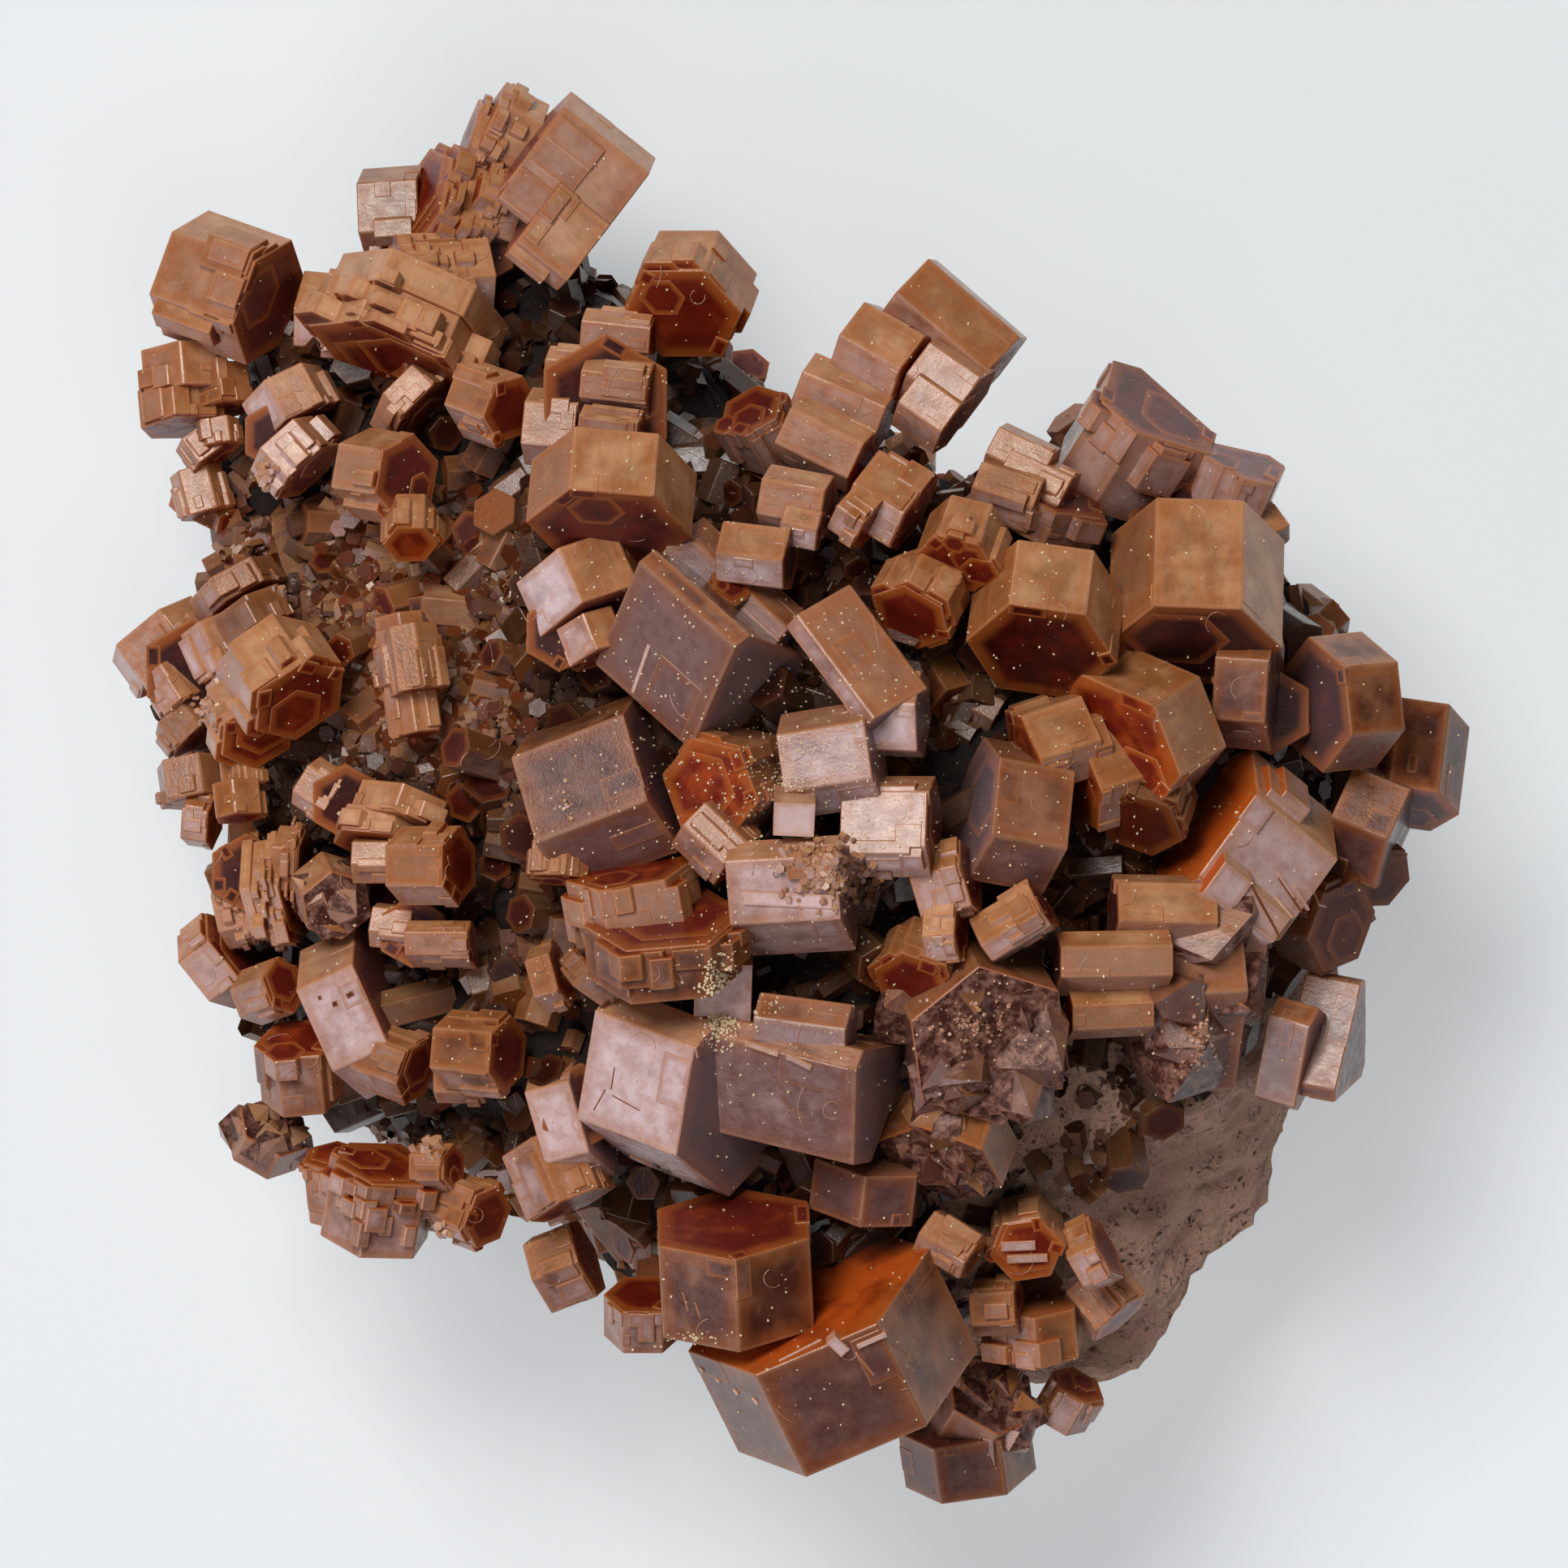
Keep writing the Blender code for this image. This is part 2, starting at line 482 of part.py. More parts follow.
def paint(obj, material):
    """Give the whole object one material."""
    obj.data.materials.clear()
    obj.data.materials.append(material)


def settle(obj, base):
    """Move the object's origin to its own middle and hang it on the specimen's base."""
    middle = sum((Vector(corner) for corner in obj.bound_box), Vector()) / len(obj.bound_box)
    obj.data.transform(Matrix.Translation(-middle))
    obj.location = middle
    obj.parent = base


def add_object(name, mesh, collection):
    """An object of a mesh, in a collection."""
    obj = bpy.data.objects.new(name, mesh)
    collection.objects.link(obj)
    return obj


def hexagon(width):
    """Corners of a regular hexagon, counter-clockwise from the one on +Y."""
    turns = [math.pi / 2.0 + math.tau * k / HEXAGON_SIDES for k in range(HEXAGON_SIDES)]
    return [Vector((math.cos(turn), math.sin(turn))) * width / 2.0 for turn in turns]


def face_outline(face, before, after, depth):
    """Corners of a hexagon with equal angles, its first side on x = 0 between two sides of stated width."""
    thick = min(2.0 * face * depth, THICKEST * face + before + after)
    thick = max(thick, max(before, after) + THINNEST * face)
    back = max(face + after - (thick - before), LEAST_BACK * face)
    corners = [Vector((0.0, -face / 2.0))]
    for number, width in enumerate((face, after, thick - after, back, thick - before)):
        turn = math.pi / 2.0 + math.tau * number / HEXAGON_SIDES
        corners.append(corners[-1] + Vector((math.cos(turn), math.sin(turn))) * width)
    return corners


def spread_outline(outline, clearance):
    """The outline with every side moved out by a clearance."""
    spread = []
    for number, corner in enumerate(outline):
        before = (corner - outline[number - 1]).normalized()
        after = (outline[(number + 1) % HEXAGON_SIDES] - corner).normalized()
        spread.append(corner + (before - after).normalized() * clearance / APOTHEM_RATIO)
    return spread


def prism_mesh(name, crystal, clearance=0.0):
    """A crystal's hexagonal prism, larger by a clearance on every side."""
    matrix, outline, length = crystal.frame()
    outline = spread_outline(outline, clearance)
    half = length / 2.0 + clearance
    work = bmesh.new()
    rings = [[work.verts.new((*corner, level)) for corner in outline] for level in (-half, half)]
    work.faces.new(reversed(rings[0]))
    work.faces.new(rings[1])
    for number in range(HEXAGON_SIDES):
        after = (number + 1) % HEXAGON_SIDES
        work.faces.new((rings[0][number], rings[0][after], rings[1][after], rings[1][number]))
    bmesh.ops.transform(work, matrix=Matrix.Scale(MM, 4) @ matrix, verts=work.verts)
    bmesh.ops.recalc_face_normals(work, faces=work.faces)
    mesh = bpy.data.meshes.new(name)
    work.to_mesh(mesh)
    work.free()
    return mesh


def breadth(outline):
    """Mean width of a cross-section."""
    middle = sum(outline, Vector((0.0, 0.0))) / len(outline)
    return 2.0 * sum((corner - middle).length for corner in outline) / len(outline)


def boxes_meet(first, second):
    """Whether two objects' bounding boxes meet."""
    low_a, high_a = extent(first)
    low_b, high_b = extent(second)
    return all(low_a[i] <= high_b[i] and low_b[i] <= high_a[i] for i in range(3))


def extent(obj):
    """Lowest and highest corner of an object's vertices."""
    points = [vertex.co for vertex in obj.data.vertices]
    low = [min(point[i] for point in points) for i in range(3)]
    high = [max(point[i] for point in points) for i in range(3)]
    return low, high


def combine(obj, others, operation):
    """Join or cut an object with each of the others and keep its largest body."""
    others = [other for other in others if boxes_meet(obj, other)]
    for other in others:
        modifier = obj.modifiers.new(operation.title(), "BOOLEAN")
        modifier.operation = operation
        modifier.solver = "EXACT"
        modifier.object = other
    if others:
        graph = bpy.context.evaluated_depsgraph_get()
        mesh = bpy.data.meshes.new_from_object(obj.evaluated_get(graph))
        obj.modifiers.clear()
        obj.data = mesh
    return obj


def keep_largest_body(obj):
    """Drop the chips that a cut left loose."""
    work = bmesh.new()
    work.from_mesh(obj.data)
    bodies = connected_bodies(work)
    bodies.sort(key=body_size)
    for body in bodies[:-1]:
        bmesh.ops.delete(work, geom=list(body), context="VERTS")
    bmesh.ops.recalc_face_normals(work, faces=work.faces)
    work.to_mesh(obj.data)
    work.free()


def connected_bodies(work):
    """The sets of vertices that hang together."""
    left = set(work.verts)
    bodies = []
    while left:
        body = set()
        front = [left.pop()]
        while front:
            vertex = front.pop()
            body.add(vertex)
            for edge in vertex.link_edges:
                other = edge.other_vert(vertex)
                if other in left:
                    left.remove(other)
                    front.append(other)
        bodies.append(body)
    return bodies


def body_size(body):
    """Volume of the box around a body."""
    spans = [max(v.co[i] for v in body) - min(v.co[i] for v in body) for i in range(3)]
    return spans[0] * spans[1] * spans[2]


def rock_radius(angle):
    """Outer radius of the rock in a direction on the plan, smoothed between its stated radii."""
    step = 2.0 * math.pi / len(ROCK_RADII)
    place = (angle % (2.0 * math.pi)) / step
    before = int(place) % len(ROCK_RADII)
    after = (before + 1) % len(ROCK_RADII)
    blend = place - int(place)
    ease = blend * blend * (3.0 - 2.0 * blend)
    return ROCK_RADII[before] * (1.0 - ease) + ROCK_RADII[after] * ease


def rock_mesh():
    """The rock: a sphere drawn out to its outline, domed above, lumpy, and cut flat below."""
    work = bmesh.new()
    bmesh.ops.create_uvsphere(work, u_segments=ROCK_SEGMENTS, v_segments=ROCK_RINGS, radius=1.0)
    for vertex in work.verts:
        vertex.co = rock_point(vertex.co) * MM
    bmesh.ops.recalc_face_normals(work, faces=work.faces)
    level = bmesh.ops.bisect_plane(
        work,
        geom=work.verts[:] + work.edges[:] + work.faces[:],
        plane_co=(0.0, 0.0, 0.0),
        plane_no=(0.0, 0.0, -1.0),
        clear_outer=True,
    )
    rim = [item for item in level["geom_cut"] if isinstance(item, bmesh.types.BMEdge)]
    bmesh.ops.contextual_create(work, geom=rim)
    bmesh.ops.triangulate(work, faces=work.faces)
    bmesh.ops.recalc_face_normals(work, faces=work.faces)
    mesh = bpy.data.meshes.new("matrix_rock")
    work.to_mesh(mesh)
    work.free()
    return mesh


def rock_point(unit):
    """Where a point of the unit sphere lies on the rock's surface."""
    angle = math.atan2(unit.y, unit.x)
    reach = math.hypot(unit.x, unit.y)
    radius = rock_radius(angle) * reach
    x, y = radius * math.cos(angle), radius * math.sin(angle)
    if unit.z >= 0.0:
        crown = max(dome_height(x, y) - ROCK_COVER, ROCK_WAIST + ROCK_LEAST_CROWN)
        height = ROCK_WAIST + (crown - ROCK_WAIST) * min(1.0, unit.z * ROCK_SHOULDER)
    else:
        height = ROCK_WAIST + unit.z * ROCK_UNDERSIDE
    point = Vector((x, y, height))
    lump = sum(noise.noise(point / size) * swell for size, swell in LUMPS)
    return point + unit.normalized() * lump


def covered(x, y, shades):
    """Whether a large crystal hides a place on the plan."""
    return any(math.hypot(x - middle.x, y - middle.y) < reach for middle, reach in shades)


def rock_normal(unit):
    """The rock's outward direction where a direction of the unit sphere meets it."""
    here = rock_point(unit)
    around = unit.cross(Vector((1.0, 0.0, 0.0))).normalized()
    first = rock_point((unit + around * NORMAL_STEP).normalized()) - here
    second = rock_point((unit + unit.cross(around) * NORMAL_STEP).normalized()) - here
    return first.cross(second).normalized()


def druse_crystals():
    """Small crystals set over the rock and its sides at seeded places, each leaning its own way."""
    chance = random.Random(DRUSE_SEED)
    shades = []
    for crystal in [one for group in CLUSTERS.values() for one in group]:
        matrix, outline, length = crystal.frame()
        shades.append((matrix.translation, DRUSE_CLEARANCE * min(breadth(outline), length)))
    crystals = []
    while len(crystals) < DRUSE_COUNT:
        if chance.random() < DRUSE_ON_TOP:
            polar = math.asin(math.sqrt(chance.random()))
        else:
            polar = math.radians(chance.uniform(*DRUSE_SIDE_POLAR))
        angle = chance.uniform(0.0, 2.0 * math.pi)
        width = chance.uniform(*DRUSE_WIDTHS)
        length = chance.uniform(*DRUSE_LENGTHS)
        shown = chance.uniform(*DRUSE_SHOWN)
        lean = Vector([chance.gauss(0.0, 1.0) for _ in range(3)]) * DRUSE_LEAN
        spin = chance.uniform(0.0, 360.0 / HEXAGON_SIDES)
        level = math.sin(polar)
        unit = Vector((level * math.cos(angle), level * math.sin(angle), math.cos(polar)))
        root = rock_point(unit)
        if root.x * BARE_ROCK_DIRECTION[0] + root.y * BARE_ROCK_DIRECTION[1] > BARE_ROCK_DISTANCE:
            continue
        if unit.z > 0.0 and covered(root.x, root.y, shades):
            continue
        axis = (rock_normal(unit) + lean).normalized()
        end = root + axis * length * shown
        crystals.append(
            Standing(
                end=(end.x, end.y),
                azimuth=math.degrees(math.atan2(axis.y, axis.x)),
                tilt=math.degrees(math.acos(axis.z)),
                width=width,
                length=length,
                lift=end.z - dome_height(end.x, end.y),
                spin=spin,
            )
        )
    return crystals


def set_prisms(crystals, name, collection, clearance=0.0):
    """Prism objects of several crystals, kept as helpers."""
    helpers = []
    for number, crystal in enumerate(crystals):
        label = f"{name}_{number:02d}"
        helper = add_object(label, prism_mesh(label, crystal, clearance), collection)
        helper.hide_render = True
        helper.display_type = "WIRE"
        helpers.append(helper)
    return helpers


def build_cluster(name, crystals, before, specimen, helpers):
    """One group of grown-together crystals, cut clear of the groups built before it."""
    solid = add_object(name, prism_mesh(name, crystals[0]), specimen)
    combine(solid, set_prisms(crystals[1:], name + "_part", helpers), "UNION")
    combine(solid, before, "DIFFERENCE")
    keep_largest_body(solid)
    paint(solid, group_material(name))
    return solid


def build_rock(before, specimen, helpers):
    """The rock with its small crystals, cut clear of every large group."""
    rock = add_object("matrix_rock", rock_mesh(), specimen)
    small = set_prisms(ROOTED + druse_crystals(), "small_crystal", helpers)
    combine(rock, small, "UNION")
    combine(rock, before, "DIFFERENCE")
    keep_largest_body(rock)
    paint(rock, crystal_material("matrix_rock", ROCK_TAN, ROCK_ROUGHNESS))
    return rock


def main():
    clear_scene()
    specimen = new_collection(SPECIMEN)
    helpers = new_collection("helpers")
    helpers.hide_render = True
    base = add_object("specimen_base", None, specimen)
    before = []
    pieces = []
    for name, crystals in CLUSTERS.items():
        pieces.append(build_cluster(name, crystals, before, specimen, helpers))
        before += set_prisms(crystals, name + "_space", helpers, GAP)
    pieces.append(build_rock(before, specimen, helpers))
    for piece in pieces:
        settle(piece, base)


main()
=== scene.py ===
"""Vanadinite specimen: short hexagonal crystals with stepped sides, grown together over a lump of tan rock.

The plan is seen from above: +X to the right, +Y to the back, +Z up. Rows are in millimetres.
"""

import json
import logging
import math
import random
from collections.abc import Sequence
from dataclasses import dataclass
from enum import Enum

import bmesh
import bpy
import numpy as np
from mathutils import Matrix, Vector, noise
from mathutils.bvhtree import BVHTree

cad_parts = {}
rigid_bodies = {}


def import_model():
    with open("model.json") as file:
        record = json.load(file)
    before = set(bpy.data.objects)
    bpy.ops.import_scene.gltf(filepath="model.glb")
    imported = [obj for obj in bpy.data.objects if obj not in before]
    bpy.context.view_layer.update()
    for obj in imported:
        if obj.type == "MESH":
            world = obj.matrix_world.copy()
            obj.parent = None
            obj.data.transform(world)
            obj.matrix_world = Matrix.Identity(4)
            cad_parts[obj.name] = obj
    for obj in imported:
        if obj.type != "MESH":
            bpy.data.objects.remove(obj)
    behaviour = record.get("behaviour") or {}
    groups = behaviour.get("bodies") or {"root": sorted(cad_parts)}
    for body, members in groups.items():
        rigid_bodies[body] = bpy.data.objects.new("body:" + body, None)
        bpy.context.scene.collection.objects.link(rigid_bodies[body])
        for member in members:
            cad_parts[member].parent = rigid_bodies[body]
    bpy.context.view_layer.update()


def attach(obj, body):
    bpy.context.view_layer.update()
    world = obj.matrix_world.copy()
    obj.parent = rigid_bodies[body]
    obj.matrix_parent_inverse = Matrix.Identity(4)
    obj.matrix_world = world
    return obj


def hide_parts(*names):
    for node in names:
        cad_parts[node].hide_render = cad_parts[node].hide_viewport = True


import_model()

logging.basicConfig(level=logging.INFO, format="%(message)s")
log = logging.getLogger("specimen")

Socket = bpy.types.NodeSocket
Number = Socket | float
Colour = Socket | tuple

MM = 0.001

# Painted shade: depth under the dome at which crystals begin to be painted dark, how fast the dark grows,
# and how this fades at the edge.
BURIED_FROM = 0.6
BURIED_OVER = 4.5
BURIED_EDGE = 1.1
BURIED_FADE = 2.5
BURIED_LEAST = 0.25
ROOTED_SHADE = 0.6

# Largest bevel and rim, as shares of a column's shortest side.
LARGEST_BEVEL = 0.18
LARGEST_RIM = 0.3

# Rim shades (the strength of the painted edge highlight) and heart shades of the plain small prisms and of
# a broken crystal's pieces.
STUB_FOOT_RIM = 0.15
STUB_END_RIM = 0.7
STUB_HEART = 0.3
SHARD_RIM = 0.2
SHARD_HEART = 0.5

# A broken crystal's pieces, and the points that each is wrapped round.
SHARDS = 22
SHARD_POINTS = 16

# How layers and plates run into the crystal under them.
LAYER_OVERLAP = 0.02
PLATE_ROOT = 0.7
END_PLATE_ROOT = 0.6

# Crystals start at places this far apart in the pattern, so that no two are alike.
PATTERN_SPREAD = 500.0

# Lint: its width, sides, steps, least number of them, how far it lies from the middle and how it bends.
FIBRE_WIDTH = 0.035
FIBRE_SIDES = 3
FIBRE_STEP = 0.16
FIBRE_LEAST = 4
FIBRE_DROP = 0.25
FIBRE_REACH = 32.0
FIBRE_BEND = 0.45

# Rays sent up from a small crystal to see how shut in it is.
SHELTER_RAYS = 8
SHELTER_START = 1.0
SHELTER_REACH = 9.0
SHELTER_FULL = 0.6

# The angle from straight up at which the rock's side begins.
SIDE_POLAR = math.radians(62.0)

# Height above the floor at which the lamps aim, in metres.
LAMP_AIM = 0.02

# The way up of the separate little blocks, and how far down they go.
BLOCK_UP = Vector((0.0, -0.3, 1.0)).normalized()
BLOCK_DEPTH = 3.0

# The crystal field is a low dome. Every crystal's height is given above or below it.
DOME_CENTRE = (2.0, -1.0)
DOME_RADII = (34.0, 35.5)
RIM_HEIGHT = 14.0
DOME_RISE = 18.0
APOTHEM_RATIO = math.sqrt(3.0) / 2.0
HEXAGON_SIDES = 6

# Cross-sections: widest face beside the seen one, the least share of it that shows,
# and limits of the thickness.
WIDEST_WING = 1.6
LEAST_SHOWN = 0.2
THICKEST = 0.85
THINNEST = 0.12
LEAST_BACK = 0.05

# The rock: its radius every 15 degrees counter-clockwise from +X, its widest level and its cover.
ROCK_RADII = (
    28.5, 27.5, 25.0, 22.5, 16.0, 18.0, 17.5, 24.5,
    32.0, 33.5, 33.0, 29.5, 29.0, 27.5, 27.5, 26.5,
    24.0, 25.5, 29.0, 31.0, 33.5, 31.4, 29.0, 28.0,
)
ROCK_WAIST = 11.0
ROCK_UNDERSIDE = 17.0
ROCK_COVER = 5.0
ROCK_LEAST_CROWN = 2.0
ROCK_SHOULDER = 1.7
LUMPS = ((9.0, 2.2), (4.5, 1.2))
# The bare patch of rock; elsewhere the rock is painted near black as painted shade between the crystals.
BARE_ROCK_DIRECTION = (0.72, -0.69)
BARE_ROCK_DISTANCE = 25.0
BARE_ROCK_FADE = (9.0, 5.0)

# The rock's mesh, and the grain and pits of its surface.
ROCK_AROUND = 300
ROCK_ALONG = 150
GRAIN_SWELL = 0.5
GRAIN_SIZE = 1.6
PIT_DEPTH = 0.35
PIT_SIZE = 1.1
PIT_REACH = 0.5

# Seeds of the small crystals, the fine crust and the loose detail.
SMALL_SEED = 5
CRUST_SEED = 6
DETAIL_SEED = 11


def dome_height(x: float, y: float) -> float:
    """Height of the crystal field above the resting plane at a place on the plan.

    Args:
        x: Millimetres to the right of the middle.
        y: Millimetres behind the middle.

    Returns:
        The height in millimetres.
    """
    reach = ((x - DOME_CENTRE[0]) / DOME_RADII[0]) ** 2 + ((y - DOME_CENTRE[1]) / DOME_RADII[1]) ** 2
    return RIM_HEIGHT + DOME_RISE * (1.0 - min(1.0, reach))


def basis(corner: Vector, axis: Vector, centre: Vector) -> Matrix:
    """Matrix that carries an upright prism to a corner direction, an axis and a middle.

    Args:
        corner: Direction from the middle to one corner.
        axis: Direction of the exposed end.
        centre: The prism's middle.

    Returns:
        The matrix, in millimetres.
    """
    corner = (corner - axis * corner.dot(axis)).normalized()
    rotation = Matrix((corner.cross(axis), corner, axis)).transposed().to_4x4()
    return Matrix.Translation(centre) @ rotation


@dataclass(frozen=True)
class Pose:
    """Where a prism stands and the outline of its cross-section.

    Attributes:
        matrix: Carries the upright prism, centred along its length, into place.
        outline: Corners of its cross-section, counter-clockwise.
        length: End to end, in millimetres.
    """

    matrix: Matrix
    outline: tuple[tuple[float, float], ...]
    length: float

    def width(self) -> float:
        """Mean width of the cross-section.

        Returns:
            Twice the mean distance of the corners from their middle.
        """
        middle = self.middle()
        reaches = [math.hypot(x - middle[0], y - middle[1]) for x, y in self.outline]
        return 2.0 * sum(reaches) / len(reaches)

    def middle(self) -> tuple[float, float]:
        """Middle of the cross-section.

        Returns:
            Mean of its corners.
        """
        count = len(self.outline)
        return sum(x for x, _ in self.outline) / count, sum(y for _, y in self.outline) / count

    def scaled(self, share: float, shift: tuple[float, float] = (0.0, 0.0)) -> list[tuple[float, float]]:
        """The outline drawn in towards its middle.

        Args:
            share: Size left.
            shift: Sideways move.

        Returns:
            The new corners.
        """
        mx, my = self.middle()
        right, up = shift
        return [(mx + (x - mx) * share + right, my + (y - my) * share + up) for x, y in self.outline]


@dataclass(frozen=True)
class Lying:
    """A crystal seen from its side: one prism face, from its root corner out to its two end corners.

    Attributes:
        root: Plan position of the root corner.
        tip: Plan position of the end corner beside it.
        side: Plan position of the face's other end corner.
        lift: Height of the face's middle above the dome.
        rise: How much higher the end is than the root.
        fold: Share of the width from tip to side that the next face, round the far edge, takes up.
        wings: Widths of the faces round the near and the far edge, as shares of the face between them.
        depth: Thickness as a share of a regular hexagon's.
    """

    root: tuple[float, float]
    tip: tuple[float, float]
    side: tuple[float, float]
    lift: float = 0.0
    rise: float = 0.6
    fold: float = 0.0
    wings: tuple[float, float] = (0.85, 0.85)
    depth: float = 0.9

    def pose(self) -> Pose:
        """The prism's place.

        Returns:
            The pose of the whole prism.
        """
        along = Vector(self.tip) - Vector(self.root)
        across = (Vector(self.side) - Vector(self.tip)) * (1.0 - self.fold)
        edge = Vector((along.x, along.y, self.rise))
        width = Vector((across.x, across.y, -along.dot(across) / self.rise))
        middle = Vector(self.root) + (along + across) / 2.0
        outward = edge.cross(width).normalized()
        flipped = outward.z < 0.0
        if flipped:
            outward.negate()
        near, far = self.wings
        if self.fold > 0.0:
            beyond = width.normalized() / 2.0 - outward * APOTHEM_RATIO
            shown = max(LEAST_SHOWN, beyond.xy.dot(across.normalized()))
            far = min(WIDEST_WING, self.fold / (1.0 - self.fold) * across.length / shown / width.length)
        before, after = (near, far) if flipped else (far, near)
        face = Vector((middle.x, middle.y, dome_height(middle.x, middle.y) + self.lift))
        axis = edge.normalized()
        turn = Matrix((outward, axis.cross(outward), axis)).transposed().to_4x4()
        outline = face_outline(width.length, before * width.length, after * width.length, self.depth)
        return Pose(Matrix.Translation(face) @ turn, outline, edge.length)


def face_outline(face: float, before: float, after: float, depth: float) -> tuple[tuple[float, float], ...]:
    """A hexagon with equal angles whose first side lies on x = 0.

    Args:
        face: Width of the first side.
        before: Width of the side before it.
        after: Width of the side after it.
        depth: Thickness as a share of a regular hexagon's.

    Returns:
        Its corners, counter-clockwise.
    """
    thick = min(2.0 * face * depth, THICKEST * face + before + after)
    thick = max(thick, max(before, after) + THINNEST * face)
    back = max(face + after - (thick - before), LEAST_BACK * face)
    corner = (0.0, -face / 2.0)
    corners = [corner]
    for number, width in enumerate((face, after, thick - after, back, thick - before)):
        turn = math.pi / 2.0 + math.tau * number / HEXAGON_SIDES
        corner = (corner[0] + width * math.cos(turn), corner[1] + width * math.sin(turn))
        corners.append(corner)
    return tuple(corners)


def hexagon(width: float) -> tuple[tuple[float, float], ...]:
    """Corners of a regular hexagon with one corner on +Y.

    Args:
        width: Corner to corner.

    Returns:
        Six plan points, counter-clockwise.
    """
    turns = [math.radians(90.0 + 60.0 * k) for k in range(HEXAGON_SIDES)]
    return tuple((math.cos(t) * width / 2.0, math.sin(t) * width / 2.0) for t in turns)


@dataclass(frozen=True)
class Standing:
    """A crystal seen from its end.

    Attributes:
        end: Plan position of the middle of the exposed end.
        azimuth: Way the axis points on the plan, in degrees from +X.
        tilt: Angle of the axis from upright, in degrees.
        width: Corner to corner.
        length: End to end.
        lift: Height of the end's middle above the dome.
        spin: Turn about the axis, in degrees.
    """

    end: tuple[float, float]
    azimuth: float
    tilt: float
    width: float
    length: float
    lift: float = 0.0
    spin: float = 0.0

    def pose(self) -> Pose:
        """The prism's place.

        Returns:
            The pose of the whole prism.
        """
        azimuth, tilt, spin = (math.radians(a) for a in (self.azimuth, self.tilt, self.spin))
        level = Vector((-math.sin(azimuth), math.cos(azimuth), 0.0))
        out = math.sin(tilt)
        axis = Vector((math.cos(azimuth) * out, math.sin(azimuth) * out, math.cos(tilt)))
        corner = level * math.cos(spin) + axis.cross(level) * math.sin(spin)
        end = Vector((*self.end, dome_height(*self.end) + self.lift))
        return Pose(basis(corner, axis, end - axis * self.length / 2.0), hexagon(self.width), self.length)


